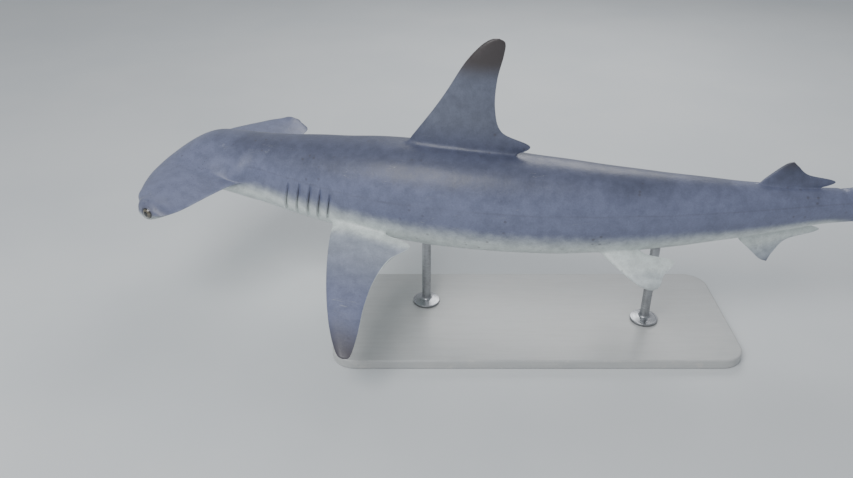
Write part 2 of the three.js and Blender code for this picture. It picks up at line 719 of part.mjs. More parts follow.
function standRod(station, cutter) {
  const foot = [
    [0, 0], [ROD_FOOT_RADIUS, 0], [ROD_FOOT_RADIUS, ROD_FOOT_HEIGHT * 0.6],
    [ROD_RADIUS + 6, ROD_FOOT_HEIGHT], [ROD_RADIUS, ROD_FOOT_HEIGHT + 6],
    [ROD_RADIUS, AXIS_HEIGHT - BASE_THICKNESS], [0, AXIS_HEIGHT - BASE_THICKNESS],
  ];
  const rod = new THREE.LatheGeometry(foot.map(([r, z]) => new THREE.Vector2(r, z)), 24);
  rod.rotateX(Math.PI / 2);
  const at = bend(station, 0, 0);
  rod.translate(at.x, at.y, BASE_THICKNESS + GAP);
  return largest(solidOf(rod).subtract(cutter));
}

// Looks of the construction model.
function paint(color, roughness, metalness = 0) {
  return new THREE.MeshStandardMaterial({ color, roughness, metalness });
}

const skin = paint(0x6a7284, 0.55);
const finSkin = paint(0x646b7c, 0.55);
const eyeGloss = paint(0x14161a, 0.12);
const basePaint = paint(0xb9bbbd, 0.5);
const steel = paint(0xa9adb2, 0.3, 1);

function hammerhead() {
  const group = new THREE.Group();
  const cutter = bodyCutter();
  const rooted = (fin) => largest(finSolid(fin).subtract(cutter));
  const add = (name, solid, material) => group.add(meshOf(name, solid, material));

  add("head", headSolid(), skin);
  add("eye_left", eyeball(1, 0), eyeGloss);
  add("eye_right", eyeball(-1, 0), eyeGloss);
  add("gill_region", bodyLength(NECK_CUT, GILL_CUT), skin);
  add("trunk_front", bodyLength(GILL_CUT, TRUNK_CUT), skin);
  add("trunk_rear", bodyLength(TRUNK_CUT, STALK_CUT), skin);
  add("tail_stalk", bodyLength(STALK_CUT, CAUDAL_CUT), skin);
  add("dorsal_fin_first", rooted(firstDorsal), finSkin);
  add("dorsal_fin_second", rooted(secondDorsal), finSkin);
  add("anal_fin", rooted(analFin), finSkin);
  [["left", 1], ["right", -1]].forEach(([side, mirror]) => {
    add(`pectoral_fin_${side}`, rooted(pectoral(mirror)), finSkin);
    add(`pelvic_fin_${side}`, rooted(pelvic(mirror)), finSkin);
  });
  add("caudal_lobe_upper", upperSolid(0), skin);
  const lower = finSolid(lowerLobe).subtract(upperSolid(GAP)).subtract(cutter);
  add("caudal_lobe_lower", largest(lower), finSkin);

  add("stand_base", standBase(), basePaint);
  Object.entries(ROD_STATIONS).forEach(([end, station]) => {
    add(`stand_rod_${end}`, standRod(station, cutter), steel);
  });
  return group;
}

export default hammerhead();
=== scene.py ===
"""The finished look of a life-size smooth hammerhead shark on its display stand.

Metres, +Z up. One skin covers the whole animal. It is drawn straight first, as shares of the total
length (a back from the snout, l to the shark's left, z up from the body's axis), and then bent along
the spine, and its colours and textures follow that same straight animal.
"""
import json
from math import radians

import bmesh
import bpy
import numpy as np
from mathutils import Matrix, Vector, kdtree


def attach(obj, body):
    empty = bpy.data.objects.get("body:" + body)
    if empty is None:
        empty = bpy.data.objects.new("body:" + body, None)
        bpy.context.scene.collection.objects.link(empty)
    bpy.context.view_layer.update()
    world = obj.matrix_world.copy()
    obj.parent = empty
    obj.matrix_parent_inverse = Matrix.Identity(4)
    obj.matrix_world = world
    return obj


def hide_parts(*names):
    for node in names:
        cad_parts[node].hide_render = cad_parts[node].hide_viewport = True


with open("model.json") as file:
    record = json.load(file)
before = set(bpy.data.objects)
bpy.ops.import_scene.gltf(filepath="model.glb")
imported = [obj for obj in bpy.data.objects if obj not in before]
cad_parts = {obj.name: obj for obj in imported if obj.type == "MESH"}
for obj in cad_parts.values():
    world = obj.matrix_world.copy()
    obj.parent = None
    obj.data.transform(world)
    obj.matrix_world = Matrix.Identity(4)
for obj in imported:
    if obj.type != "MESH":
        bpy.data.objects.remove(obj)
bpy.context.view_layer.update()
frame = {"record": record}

# Driving dimensions
TOTAL_LENGTH = 2.5
AXIS_HEIGHT = 0.35
GAP = 0.0003
STAND_STATION = 0.415

# Where head, body and tail fin meet, and how large the body is there
NECK_CUT = 0.112
NECK_HALF_WIDTH = 0.0392
NECK_BACK = 0.0387
NECK_BELLY = 0.0322
CAUDAL_CUT = 0.72
STALK_HALF_WIDTH = 0.012
STALK_BACK = 0.0218
STALK_BELLY = 0.0128
SECTION_POWER = 2.2

# The swimming bend: headings of the body's axis, in degrees from +X
HEAD_HEADING = -26.5
BODY_TURN = 30.5
BODY_TURN_FROM = 0.02
BODY_TURN_OVER = 0.7
TAIL_TURN = -16
TAIL_TURN_FROM = 0.68
TAIL_TURN_OVER = 0.32

# How finely the skin is drawn
SPINE_STEPS = 4000
STRAIGHTEN_ROUNDS = 6
NECK_COLUMNS = 56
RING = 4 * NECK_COLUMNS
BODY_STEP = 0.0015
HEAD_ROWS = 150
WING_COLUMNS = 150
WING_CROWDING = 1.6
CAUDAL_ROWS = 188


def smooth(x):
    """0 below 0, 1 above 1, and a soft step between."""
    x = np.clip(x, 0, 1)
    return x * x * (3 - 2 * x)


def signed_power(x, p):
    return np.sign(x) * np.abs(x) ** p


def bump(x, width):
    return np.exp(-((x / width) ** 2))


def profile(pairs):
    """A smooth curve through a few (station, value) pairs."""
    xs, ys = np.array(pairs, float).T
    last = len(xs) - 1
    before = np.maximum(np.arange(last + 1) - 1, 0)
    after = np.minimum(np.arange(last + 1) + 1, last)
    slopes = (ys[after] - ys[before]) / (xs[after] - xs[before])

    def curve(x):
        i = np.clip(np.searchsorted(xs, x) - 1, 0, last - 1)
        h = xs[i + 1] - xs[i]
        t = np.clip((x - xs[i]) / h, 0, 1)
        u = 1 - t
        between = ys[i] * u * u * (1 + 2 * t) + ys[i + 1] * t * t * (3 - 2 * t)
        return between + h * t * u * (slopes[i] * u - slopes[i + 1] * t)

    return curve


def path(points):
    """A smooth plane curve through a few points, run through evenly from 0 to 1."""
    shares = np.linspace(0, 1, len(points))
    first = profile([(s, p[0]) for s, p in zip(shares, points)])
    second = profile([(s, p[1]) for s, p in zip(shares, points)])
    return lambda t: np.stack([first(t), second(t)], -1)


# The spine
SPINE_STATIONS = np.linspace(0, 1, SPINE_STEPS + 1)


def heading(station):
    body = BODY_TURN * smooth((station - BODY_TURN_FROM) / BODY_TURN_OVER)
    tail = TAIL_TURN * smooth((station - TAIL_TURN_FROM) / TAIL_TURN_OVER)
    return np.radians(HEAD_HEADING + body + tail)


def spine_curve():
    middles = (SPINE_STATIONS[1:] + SPINE_STATIONS[:-1]) / 2
    x = np.concatenate([[0], np.cumsum(np.cos(heading(middles)))]) / SPINE_STEPS
    y = np.concatenate([[0], np.cumsum(np.sin(heading(middles)))]) / SPINE_STEPS
    x -= np.interp(STAND_STATION, SPINE_STATIONS, x)
    y -= np.interp(STAND_STATION, SPINE_STATIONS, y)
    return x, y


SPINE_X, SPINE_Y = spine_curve()


def spine_at(station):
    return np.interp(station, SPINE_STATIONS, SPINE_X), np.interp(station, SPINE_STATIONS, SPINE_Y)


def bend(a, l, z):
    """From the straight animal to the bent one, in metres."""
    x, y = spine_at(a)
    h = heading(a)
    x = (x + l * np.sin(h)) * TOTAL_LENGTH
    y = (y - l * np.cos(h)) * TOTAL_LENGTH
    return np.stack([x, y, z * TOTAL_LENGTH + AXIS_HEIGHT + 0 * x], -1)


def straighten(points):
    """The way back: (a, l, z) of each bent point."""
    x, y = points[:, 0] / TOTAL_LENGTH, points[:, 1] / TOTAL_LENGTH
    a = np.interp(x, SPINE_X, SPINE_STATIONS)
    for _ in range(STRAIGHTEN_ROUNDS):
        at_x, at_y = spine_at(a)
        h = heading(a)
        a = np.clip(a + (x - at_x) * np.cos(h) + (y - at_y) * np.sin(h), 0, 1)
    at_x, at_y = spine_at(a)
    h = heading(a)
    l = (x - at_x) * np.sin(h) - (y - at_y) * np.cos(h)
    return a, l, (points[:, 2] - AXIS_HEIGHT) / TOTAL_LENGTH


# The body behind the neck: half-width, back, belly and the level of its widest line
body_width = profile([
    (NECK_CUT, NECK_HALF_WIDTH), (0.12, 0.0379), (0.135, 0.0383), (0.16, 0.0405), (0.2, 0.0435),
    (0.25, 0.0465), (0.3, 0.0472), (0.36, 0.0452), (0.42, 0.041), (0.5, 0.0338), (0.58, 0.0254),
    (0.64, 0.019), (0.69, 0.014), (CAUDAL_CUT, STALK_HALF_WIDTH),
])
body_back = profile([
    (NECK_CUT, NECK_BACK), (0.125, 0.0408), (0.16, 0.0455), (0.2, 0.0505), (0.25, 0.0562),
    (0.29, 0.0585), (0.34, 0.058), (0.42, 0.0525), (0.5, 0.0445), (0.58, 0.0354), (0.64, 0.0286),
    (0.69, 0.0235), (CAUDAL_CUT, STALK_BACK),
])
body_belly = profile([
    (NECK_CUT, NECK_BELLY), (0.125, 0.0338), (0.16, 0.038), (0.2, 0.042), (0.28, 0.0462),
    (0.34, 0.0472), (0.42, 0.0455), (0.5, 0.0398), (0.58, 0.0304), (0.64, 0.022), (0.69, 0.0148),
    (CAUDAL_CUT, STALK_BELLY),
])
body_middle = profile([
    (NECK_CUT, 0), (0.13, 0.0002), (0.2, 0.002), (0.3, 0.0035), (0.5, 0.003), (CAUDAL_CUT, 0.0045),
])

# Gill slits: five a side, each behind a low raised flap
GILL_STATIONS = np.array([0.1605, 0.1735, 0.1865, 0.1985, 0.2095])
GILL_HALF_ANGLES = np.radians([25, 27, 27, 25, 20])
GILL_MIDDLE_ANGLE = np.radians(-12)
GILL_FLAP = 0.0016
GILL_DEPTH = 0.0024
GILL_REACH = 0.0085
GILL_LEAN = 0.012
GILL_LEAN_END = 0.228
# The rings of points at each slit, and how far from it the even rings keep
GILL_RINGS = (-0.0009, -0.0004, -0.0001, 0.0002, 0.0006)
GILL_CLEARANCE = 0.0012

# A notch in the back just before the tail fin
PIT_STATION = 0.7125
PIT_LENGTH = 0.0032
PIT_DEPTH = 0.0017


def gill_lean(station, from_side):
    """How far back a point of a slit lies, above its foot."""
    lean = smooth((station - NECK_CUT) / 0.025) * smooth((GILL_LEAN_END - station) / 0.01)
    return lean * GILL_LEAN * (from_side - GILL_MIDDLE_ANGLE) * np.cos(from_side) ** 2


def gill_relief(station, from_side):
    relief = 0 * station
    for slit, half_angle in zip(GILL_STATIONS, GILL_HALF_ANGLES):
        across = np.clip(np.abs((from_side - GILL_MIDDLE_ANGLE) / half_angle), 0, 1)
        share = 1 - across ** 4
        behind = (station - slit) / GILL_REACH
        flap = GILL_FLAP * np.clip(1 + behind, 0, 1) ** 1.5 * (behind <= 0)
        slot = GILL_DEPTH * np.clip(1 - behind / 0.5, 0, 1) * (behind > 0)
        relief = relief + share * (flap - slot)
    return relief


def angle_of(a, l, z):
    """The angle from the side at which a point of the body's skin was drawn."""
    middle = body_middle(a)
    half = np.where(z > middle, body_back(a) - middle, body_belly(a) + middle)
    power = SECTION_POWER / 2
    across = (np.abs(l) / body_width(a)) ** power
    return np.arctan2(signed_power((z - middle) / half, power), across)


def body_grid(stations):
    angles = 2 * np.pi * np.arange(RING) / RING
    station, angle = np.meshgrid(stations, angles, indexing="ij")
    c, q = np.cos(angle), np.sin(angle)
    from_side = np.arctan2(q, np.abs(c))
    a = station + gill_lean(station, from_side)
    relief = gill_relief(station, from_side)
    power = 2 / SECTION_POWER
    middle = body_middle(a)
    pit = PIT_DEPTH * bump(a - PIT_STATION, PIT_LENGTH) * np.maximum(0, q) ** 6
    half = np.where(q > 0, body_back(a) - middle, body_belly(a) + middle) - pit
    l = (body_width(a) + relief) * signed_power(c, power)
    z = middle + (half + relief) * signed_power(q, power)
    return bend(a, l, z)


def body_stations():
    even = np.arange(NECK_CUT, CAUDAL_CUT - BODY_STEP / 2, BODY_STEP)
    gills = [slit + shift for slit in GILL_STATIONS for shift in GILL_RINGS]
    clear = np.min(np.abs(even[:, None] - GILL_STATIONS[None]), 1) > GILL_CLEARANCE
    return np.sort(np.concatenate([even[clear], gills, [CAUDAL_CUT]]))


# The tail fin's upper lobe, which goes on from the body
caudal_top = profile([
    (CAUDAL_CUT, STALK_BACK), (0.742, 0.0262), (0.77, 0.0368), (0.81, 0.0545), (0.86, 0.0775),
    (0.91, 0.1005), (0.955, 0.1205), (0.983, 0.132), (1, 0.1355),
])
caudal_bottom = profile([
    (CAUDAL_CUT, -STALK_BELLY), (0.742, -0.0112), (0.77, -0.0042), (0.81, 0.0098), (0.86, 0.0335),
    (0.91, 0.0592), (0.938, 0.0752), (0.9455, 0.0778), (0.956, 0.0712), (0.9665, 0.0735),
    (0.982, 0.0985), (1, 0.1355),
])
caudal_width = profile([
    (CAUDAL_CUT, STALK_HALF_WIDTH), (0.76, 0.009), (0.8, 0.0068), (0.88, 0.0046), (0.95, 0.0029),
    (1, 0.0009),
])
# How soon the oval of the stalk becomes the blade of the fin
BLADE_AFTER = 0.075


def foil(v):
    """Half-thickness along a chord, 0 at the front edge, about 1 a third back and 0 at the rear."""
    half = 0.2969 * np.sqrt(v) - 0.126 * v - 0.3516 * v**2 + 0.2843 * v**3 - 0.1036 * v**4
    return 10 * np.maximum(0, half)


def caudal_grid(stations):
    angles = 2 * np.pi * np.arange(RING) / RING
    station, angle = np.meshgrid(stations, angles, indexing="ij")
    top, bottom = caudal_top(station), caudal_bottom(station)
    flat = smooth((station - CAUDAL_CUT) / BLADE_AFTER)
    q = signed_power(np.sin(angle), 2 / SECTION_POWER)
    c = signed_power(np.cos(angle), 2 / SECTION_POWER)
    web = np.sign(c) * foil((1 - q) / 2)
    l = caudal_width(station) * (c * (1 - flat) + web * flat)
    return bend(station, l, (top + bottom) / 2 + (top - bottom) / 2 * q)


# The hammer: (a, l) outlines of its left half
HALF_SPAN = 0.1325
front_middle = path([(0, 0), (0.0004, 0.02), (0.0027, 0.04), (0.0075, 0.06)])
front_lobe = path([
    (0.0075, 0.06), (0.0093, 0.0655), (0.012, 0.0725), (0.0155, 0.0805), (0.0203, 0.09),
    (0.0262, 0.1002), (0.0325, 0.1105), (0.0428, 0.1197), (0.0498, 0.1285), (0.0645, HALF_SPAN),
])
rear_lobe = path([
    (NECK_CUT, NECK_HALF_WIDTH), (0.1065, 0.0432), (0.1027, 0.0505), (0.1, 0.06), (0.0975, 0.072),
    (0.0943, 0.0875), (0.0908, 0.106), (0.0863, 0.12), (0.078, 0.1293), (0.0645, HALF_SPAN),
])
wing_thickness = profile([
    (0, 0.0135), (0.05, 0.0125), (0.08, 0.0108), (0.11, 0.0101), (HALF_SPAN, 0.0102),
])
ridge_back = profile([
    (0, 0.014), (0.02, 0.0232), (0.05, 0.0318), (0.08, 0.036), (NECK_CUT, NECK_BACK),
])
ridge_belly = profile([
    (0, 0.008), (0.03, 0.0145), (0.06, 0.0218), (0.09, 0.0286), (NECK_CUT, NECK_BELLY),
])
back_width = profile([
    (0, 0.064), (0.05, 0.058), (0.085, 0.0495), (0.103, 0.0438), (NECK_CUT, NECK_HALF_WIDTH),
])
belly_width = profile([
    (0, 0.076), (0.05, 0.07), (0.085, 0.054), (0.103, 0.0445), (NECK_CUT, NECK_HALF_WIDTH),
])
ridge_flank = profile([
    (0, 1.5), (0.06, 1.3), (0.085, 1), (0.102, 0.62), (NECK_CUT, 1 / SECTION_POWER),
])
NOSE_SHARE = 0.42
WING_UNDER = 0.92
WING_DROOP = 0.004
DROOP_END = 0.09
REAR_CLOSING = 0.014
TIP_ROUNDING = 0.011
BLEND_POWER = 3

# The eyes, in the ends of the wings
EYE_STATION = 0.063
EYE_RADIUS = 0.0073
EYE_OUT = 0.1264
EYE_LEVEL = -0.0036
EYE_SWELLING = 0.0016
EYE_SWELLING_REACH = 0.014
LID_RADIUS = 0.0062
LID_THICKNESS = 0.0012
LID_OUT = 0.0041


def wing_droop(l):
    """How far the wings of the hammer hang at a distance from the middle."""
    return WING_DROOP * (l / HALF_SPAN) ** 2


def head_grid(front, rear, opened, side):
    """One half of the head's skin, above (side 1) or below (side -1), in columns front to rear."""
    t = np.linspace(0, 1, HEAD_ROWS + 1)
    v = (0.5 * t + 0.5 * (1 - np.cos(np.pi * t)) / 2)[None]
    a = front[:, :1] + (rear[:, :1] - front[:, :1]) * v
    l = front[:, 1:] + (rear[:, 1:] - front[:, 1:]) * v
    across = np.minimum(1, l / (back_width(a) if side > 0 else belly_width(a)))
    shoulder = np.maximum(0, 1 - across**SECTION_POWER) ** ridge_flank(a)
    nose = np.sqrt(1 - (1 - np.minimum(1, v / NOSE_SHARE)) ** 2)
    close = np.where(opened[:, None], 1, np.sqrt(np.clip((1 - v) / REAR_CLOSING, 0, 1)))
    from_tip = np.maximum(0, (l - (HALF_SPAN - TIP_ROUNDING)) / TIP_ROUNDING)
    tip = np.sqrt(np.maximum(0, 1 - from_tip**2))
    from_eye = np.hypot(a - EYE_STATION, l - EYE_OUT) / EYE_SWELLING_REACH
    swelling = EYE_SWELLING * np.exp(-(from_eye**2)) * np.sqrt(4 * v * (1 - v))
    wing = (wing_thickness(l) * foil(v) + swelling) * tip * (1 if side > 0 else WING_UNDER)
    ridge = (ridge_back(a) if side > 0 else ridge_belly(a)) * shoulder * nose * close
    height = (wing**BLEND_POWER + ridge**BLEND_POWER) ** (1 / BLEND_POWER)
    droop = wing_droop(l) * (1 - smooth((a - DROOP_END) / (NECK_CUT - DROOP_END)))
    return a, l, side * height - droop


def head_columns():
    k = np.arange(NECK_COLUMNS)
    angle = np.pi / 2 * (1 - k / NECK_COLUMNS)
    neck = body_width(np.full(NECK_COLUMNS, NECK_CUT)) * np.cos(angle) ** (2 / SECTION_POWER)
    t = 1 - (1 - np.linspace(0, 1, WING_COLUMNS + 1)) ** WING_CROWDING
    front = np.concatenate([front_middle(k / NECK_COLUMNS), front_lobe(t)])
    rear = np.concatenate([np.stack([np.full(NECK_COLUMNS, NECK_CUT), neck], -1), rear_lobe(t)])
    opened = np.arange(len(front)) < NECK_COLUMNS
    return front, rear, opened


# Meshes
WELD = 2e-6


def grid_faces(rows, columns, start, around=False):
    """Quads over a grid of points, stored row by row."""
    ids = start + np.arange(rows * columns).reshape(rows, columns)
    if around:
        ids = np.concatenate([ids, ids[:, :1]], 1)
    quads = [ids[:-1, :-1], ids[:-1, 1:], ids[1:, 1:], ids[1:, :-1]]
    return np.stack(quads, -1).reshape(-1, 4)


def link(name, mesh):
    piece = bpy.data.objects.new(name, mesh)
    bpy.context.scene.collection.objects.link(piece)
    return piece


def mesh_piece(name, points, faces):
    """A mesh object from points and faces, welded and with its faces pointing out."""
    mesh = bpy.data.meshes.new(name)
    mesh.from_pydata(np.asarray(points).tolist(), [], [list(map(int, f)) for f in faces])
    work = bmesh.new()
    work.from_mesh(mesh)
    bmesh.ops.remove_doubles(work, verts=work.verts, dist=WELD)
    bmesh.ops.dissolve_degenerate(work, edges=work.edges, dist=WELD)
    bmesh.ops.recalc_face_normals(work, faces=work.faces)
    work.to_mesh(mesh)
    work.free()
    return link(name, mesh)


def trunk_piece():
    """Head, body and the tail fin's upper lobe, as one closed skin."""
    points, faces = [], []
    count = 0
    front, rear, opened = head_columns()
    for mirror in (1, -1):
        for side in (1, -1):
            a, l, z = head_grid(front, rear, opened, side)
            points.append(bend(a, mirror * l, z).reshape(-1, 3))
            faces.extend(grid_faces(len(front), HEAD_ROWS + 1, count))
            count += a.size
    tail = CAUDAL_CUT + (1 - CAUDAL_CUT) * np.linspace(0, 1, CAUDAL_ROWS + 2)[1:-1]
    grid = np.concatenate([body_grid(body_stations()), caudal_grid(tail)])
    points.append(grid.reshape(-1, 3))
    faces.extend(grid_faces(len(grid), RING, count, around=True))
    count += grid.shape[0] * RING
    points.append(bend(np.array([1.0]), np.array([0.0]), caudal_top(np.array([1.0]))))
    last = count - RING + np.arange(RING)
    faces.extend(np.stack([last, np.roll(last, -1), np.full(RING, count)], -1))
    return mesh_piece("shark_skin", np.concatenate(points), faces)


# Fins, each with a front and a rear edge given as (along, out) curves
def upright(along, out, w):
    return along, w, out


def sloped(root, fall, curl, mirror):
    """Out runs outwards and down from the root, and dips more at the tip."""
    c, s = np.cos(radians(fall)), np.sin(radians(fall))

    def place(along, out, w):
        dip = curl * np.maximum(0, out) ** 2
        l = mirror * (root[1] + out * c + w * s)
        return root[0] + along, l, root[2] - out * s + w * c - dip

    return place


FIRST_DORSAL = {
    "lead": [
        (0.267, 0.046), (0.2795, 0.0585), (0.3005, 0.0865), (0.3205, 0.1165), (0.3368, 0.1435),
        (0.3498, 0.1592), (0.3598, 0.1662), (0.3675, 0.1672),
    ],
    "trail": [
        (0.364, 0.046), (0.402, 0.0635), (0.374, 0.0775), (0.3665, 0.1), (0.3672, 0.128),
        (0.3722, 0.1525), (0.3728, 0.1636), (0.3675, 0.1672),
    ],
    "half": (0.0064, 0.0018),
}
SECOND_DORSAL = {
    "lead": [(0.614, 0.018), (0.6235, 0.0305), (0.637, 0.0425), (0.6475, 0.0508), (0.6545, 0.053)],
    "trail": [(0.65, 0.016), (0.701, 0.0292), (0.672, 0.039), (0.66, 0.0482), (0.6545, 0.053)],
    "half": (0.0036, 0.0012),
}
ANAL_FIN = {
    "lead": [
        (0.602, -0.016), (0.6135, -0.0275), (0.63, -0.0425), (0.643, -0.0545), (0.6515, -0.0583),
    ],
    "trail": [
        (0.658, -0.01), (0.698, -0.0218), (0.6665, -0.0325), (0.6555, -0.0475), (0.6515, -0.0583),
    ],
    "half": (0.0036, 0.0012),
}
PECTORAL_ROOT = (0.2125, 0.037, -0.0265)
PECTORAL_FALL = 19
PECTORAL_CURL = 0.9
PECTORAL = {
    "lead": [
        (-0.004, -0.02), (0, 0.002), (0.0075, 0.03), (0.0165, 0.057), (0.0265, 0.083),
        (0.037, 0.107), (0.047, 0.1255), (0.0545, 0.1358), (0.06, 0.138),
    ],
    "trail": [
        (0.05, -0.02), (0.0555, 0.0015), (0.0845, 0.0135), (0.0705, 0.034), (0.0635, 0.06),
        (0.0628, 0.087), (0.0655, 0.1135), (0.0652, 0.1345), (0.06, 0.138),
    ],
    "half": (0.0068, 0.0017),
}
PELVIC_ROOT = (0.474, 0.0225, -0.0335)
PELVIC_FALL = 34
PELVIC = {
    "lead": [
        (-0.004, -0.012), (0.003, 0.002), (0.0195, 0.0195), (0.034, 0.033), (0.0425, 0.0382),
        (0.0485, 0.0395),
    ],
    "trail": [
        (0.04, -0.012), (0.0435, 0.0005), (0.0715, 0.0085), (0.0605, 0.0235), (0.055, 0.0355),
        (0.0485, 0.0395),
    ],
    "half": (0.0045, 0.0013),
}
LOWER_LOBE = {
    "lead": [
        (0.7275, 0.004), (0.7315, -0.0135), (0.745, -0.0415), (0.7635, -0.0735), (0.777, -0.0945),
        (0.784, -0.1025), (0.7905, -0.1053),
    ],
    "trail": [
        (0.828, 0.034), (0.8125, 0.0095), (0.797, -0.0185), (0.7928, -0.052), (0.795, -0.082),
        (0.7955, -0.0985), (0.7905, -0.1053),
    ],
    "half": (0.0056, 0.0014),
}
FIN_ROWS = 90
FIN_SIDE = 44
FIN_TIP_ROWS = np.array([0.6, 0.3, 0.1, 0.02])
FIN_THINNING = 0.8
FIN_TIP_POWER = 8


def fin_grid(fin, place):
    t = np.linspace(0, 1, FIN_ROWS + 1)[:-1]
    t = np.concatenate([t, 1 - FIN_TIP_ROWS / FIN_ROWS])
    front, rear = path(fin["lead"])(t), path(fin["trail"])(t)
    k = np.arange(2 * FIN_SIDE)
    side = np.where(k <= FIN_SIDE, 1, -1)[None]
    v = ((1 - np.cos(np.pi * k / FIN_SIDE)) / 2)[None]
    along = front[:, :1] + (rear[:, :1] - front[:, :1]) * v
    out = front[:, 1:] + (rear[:, 1:] - front[:, 1:]) * v
    half = fin["half"][0] + (fin["half"][1] - fin["half"][0]) * t**FIN_THINNING
    thick = (half * np.sqrt(1 - t**FIN_TIP_POWER))[:, None]
    grid = bend(*place(along, out, side * thick * foil(v)))
    tip_along, tip_out = path(fin["lead"])(np.array([1.0]))[0]
    tip = bend(*(np.array([x], float) for x in place(tip_along, tip_out, 0.0)))
    return grid, tip


def fins_piece():
    """All fins but the upper lobe of the tail, sunk a little into the body."""
    fins = [(fin, upright) for fin in (FIRST_DORSAL, SECOND_DORSAL, ANAL_FIN, LOWER_LOBE)]
    for mirror in (1, -1):
        fins.append((PECTORAL, sloped(PECTORAL_ROOT, PECTORAL_FALL, PECTORAL_CURL, mirror)))
        fins.append((PELVIC, sloped(PELVIC_ROOT, PELVIC_FALL, 0, mirror)))
    points, faces = [], []
    count = 0
    for fin, place in fins:
        grid, tip = fin_grid(fin, place)
        rows, size = grid.shape[:2]
        points += [grid.reshape(-1, 3), tip, grid[0].mean(0)[None]]
        faces.extend(grid_faces(rows, size, count, around=True))
        apex = count + rows * size
        last = apex - size + np.arange(size)
        first = count + np.arange(size)
        faces.extend(np.stack([last, np.roll(last, -1), np.full(size, apex)], -1))
        faces.extend(np.stack([np.roll(first, -1), first, np.full(size, apex + 1)], -1))
        count = apex + 2
    return mesh_piece("fins", np.concatenate(points), faces)


def boolean(piece, tool, operation):
    """Joins tool to piece, or cuts it away, and removes the tool."""
    modifier = piece.modifiers.new(operation, "BOOLEAN")
    modifier.operation = operation
    modifier.solver = "MANIFOLD"
    modifier.object = tool
    bpy.context.view_layer.update()
    shown = piece.evaluated_get(bpy.context.evaluated_depsgraph_get())
    made = bpy.data.meshes.new_from_object(shown)
    piece.modifiers.clear()
    piece.data = made
    bpy.data.objects.remove(tool)


def coordinates(mesh):
    values = np.empty(len(mesh.vertices) * 3)
    mesh.vertices.foreach_get("co", values)
    return values.reshape(-1, 3)


def normals(mesh):
    values = np.empty(len(mesh.vertices) * 3)
    mesh.vertex_normals.foreach_get("vector", values)
    return values.reshape(-1, 3)


def set_coordinates(mesh, points):
    mesh.vertices.foreach_set("co", points.ravel())
    mesh.update()


def edge_ends(mesh):
    values = np.empty(len(mesh.edges) * 2, np.int32)
    mesh.edges.foreach_get("vertices", values)
    return values.reshape(-1, 2)


def relax(mesh, weights, rounds):
    """Moves each point towards the mean of its neighbours, as far as its weight says."""
    points = coordinates(mesh)
    ends = edge_ends(mesh)
    ends = ends[(weights[ends] > 0).any(1)]
    one, other = ends[:, 0], ends[:, 1]
    size = len(points)
    degree = np.maximum(np.bincount(one, minlength=size) + np.bincount(other, minlength=size), 1)
    for _ in range(rounds):
        for axis in range(3):
            column = points[:, axis]
            total = np.bincount(one, column[other], size) + np.bincount(other, column[one], size)
            points[:, axis] += weights * 0.5 * (total / degree - column) * (weights > 0)
    set_coordinates(mesh, points)


def distance_to(points, targets, reach):
    """Distance of each point to the nearest target, or reach where that is farther."""
    tree = kdtree.KDTree(len(targets))
    for i, target in enumerate(targets):
        tree.insert(target, i)
    tree.balance()
    low, high = targets.min(0) - reach, targets.max(0) + reach
    near = np.flatnonzero(((points > low) & (points < high)).all(1))
    distances = np.full(len(points), reach)
    for i in near:
        distances[i] = min(reach, tree.find(points[i])[2])
    return distances


# The soft line where a fin leaves the body, in metres to each side
ROOT_FILLET = 0.02
FILLET_ROUNDS = 40


def shared_by(mesh, name):
    """Marks the points where faces of both kinds meet, for a face attribute of 0 or 1."""
    kinds = np.empty(len(mesh.polygons), np.int32)
    mesh.attributes[name].data.foreach_get("value", kinds)
    sizes = np.empty(len(mesh.polygons), np.int32)
    mesh.polygons.foreach_get("loop_total", sizes)
    corners = np.empty(len(mesh.loops), np.int32)
    mesh.loops.foreach_get("vertex_index", corners)
    of_corner = np.repeat(kinds, sizes)
    size = len(mesh.vertices)
    first, second = (np.bincount(corners, of_corner == kind, size) > 0 for kind in (0, 1))
    return first & second


def join_fins(skin):
    """Unites the fins with the body and softens the line where they meet."""
    fins = fins_piece()
    for piece, kind in ((skin, 0), (fins, 1)):
        mark = piece.data.attributes.new("of_fin", "INT", "FACE")
        mark.data.foreach_set("value", np.full(len(piece.data.polygons), kind, np.int32))
    boolean(skin, fins, "UNION")
    mesh = skin.data
    points = coordinates(mesh)
    seam = points[shared_by(mesh, "of_fin")]
    mesh.attributes.remove(mesh.attributes["of_fin"])
    distance = distance_to(points, seam, ROOT_FILLET)
    relax(mesh, 1 - smooth(distance / ROOT_FILLET), FILLET_ROUNDS)


def refine(mesh, region, longest):
    """Halves the edges of a region that are longer than the given length."""
    points = coordinates(mesh)
    inside = region(*straighten(points))
    ends = edge_ends(mesh)
    length = np.linalg.norm(points[ends[:, 0]] - points[ends[:, 1]], axis=1)
    chosen = np.flatnonzero(inside[ends].all(1) & (length > longest))
    work = bmesh.new()
    work.from_mesh(mesh)
    work.edges.ensure_lookup_table()
    edges = [work.edges[i] for i in chosen]
    bmesh.ops.subdivide_edges(work, edges=edges, cuts=1, use_grid_fill=True)
    work.to_mesh(mesh)
    work.free()


def distance_to_line(points, line):
    """Distance of each point to a chain of straight parts, and how far along it that is."""
    best = np.full(len(points), np.inf)
    share = np.zeros(len(points))
    for k, (start, end) in enumerate(zip(line[:-1], line[1:])):
        step = end - start
        t = np.clip((points - start) @ step / (step @ step), 0, 1)
        gap = np.linalg.norm(points - start - t[:, None] * step, axis=1)
        share = np.where(gap < best, (k + t) / (len(line) - 1), share)
        best = np.minimum(gap, best)
    return best, share


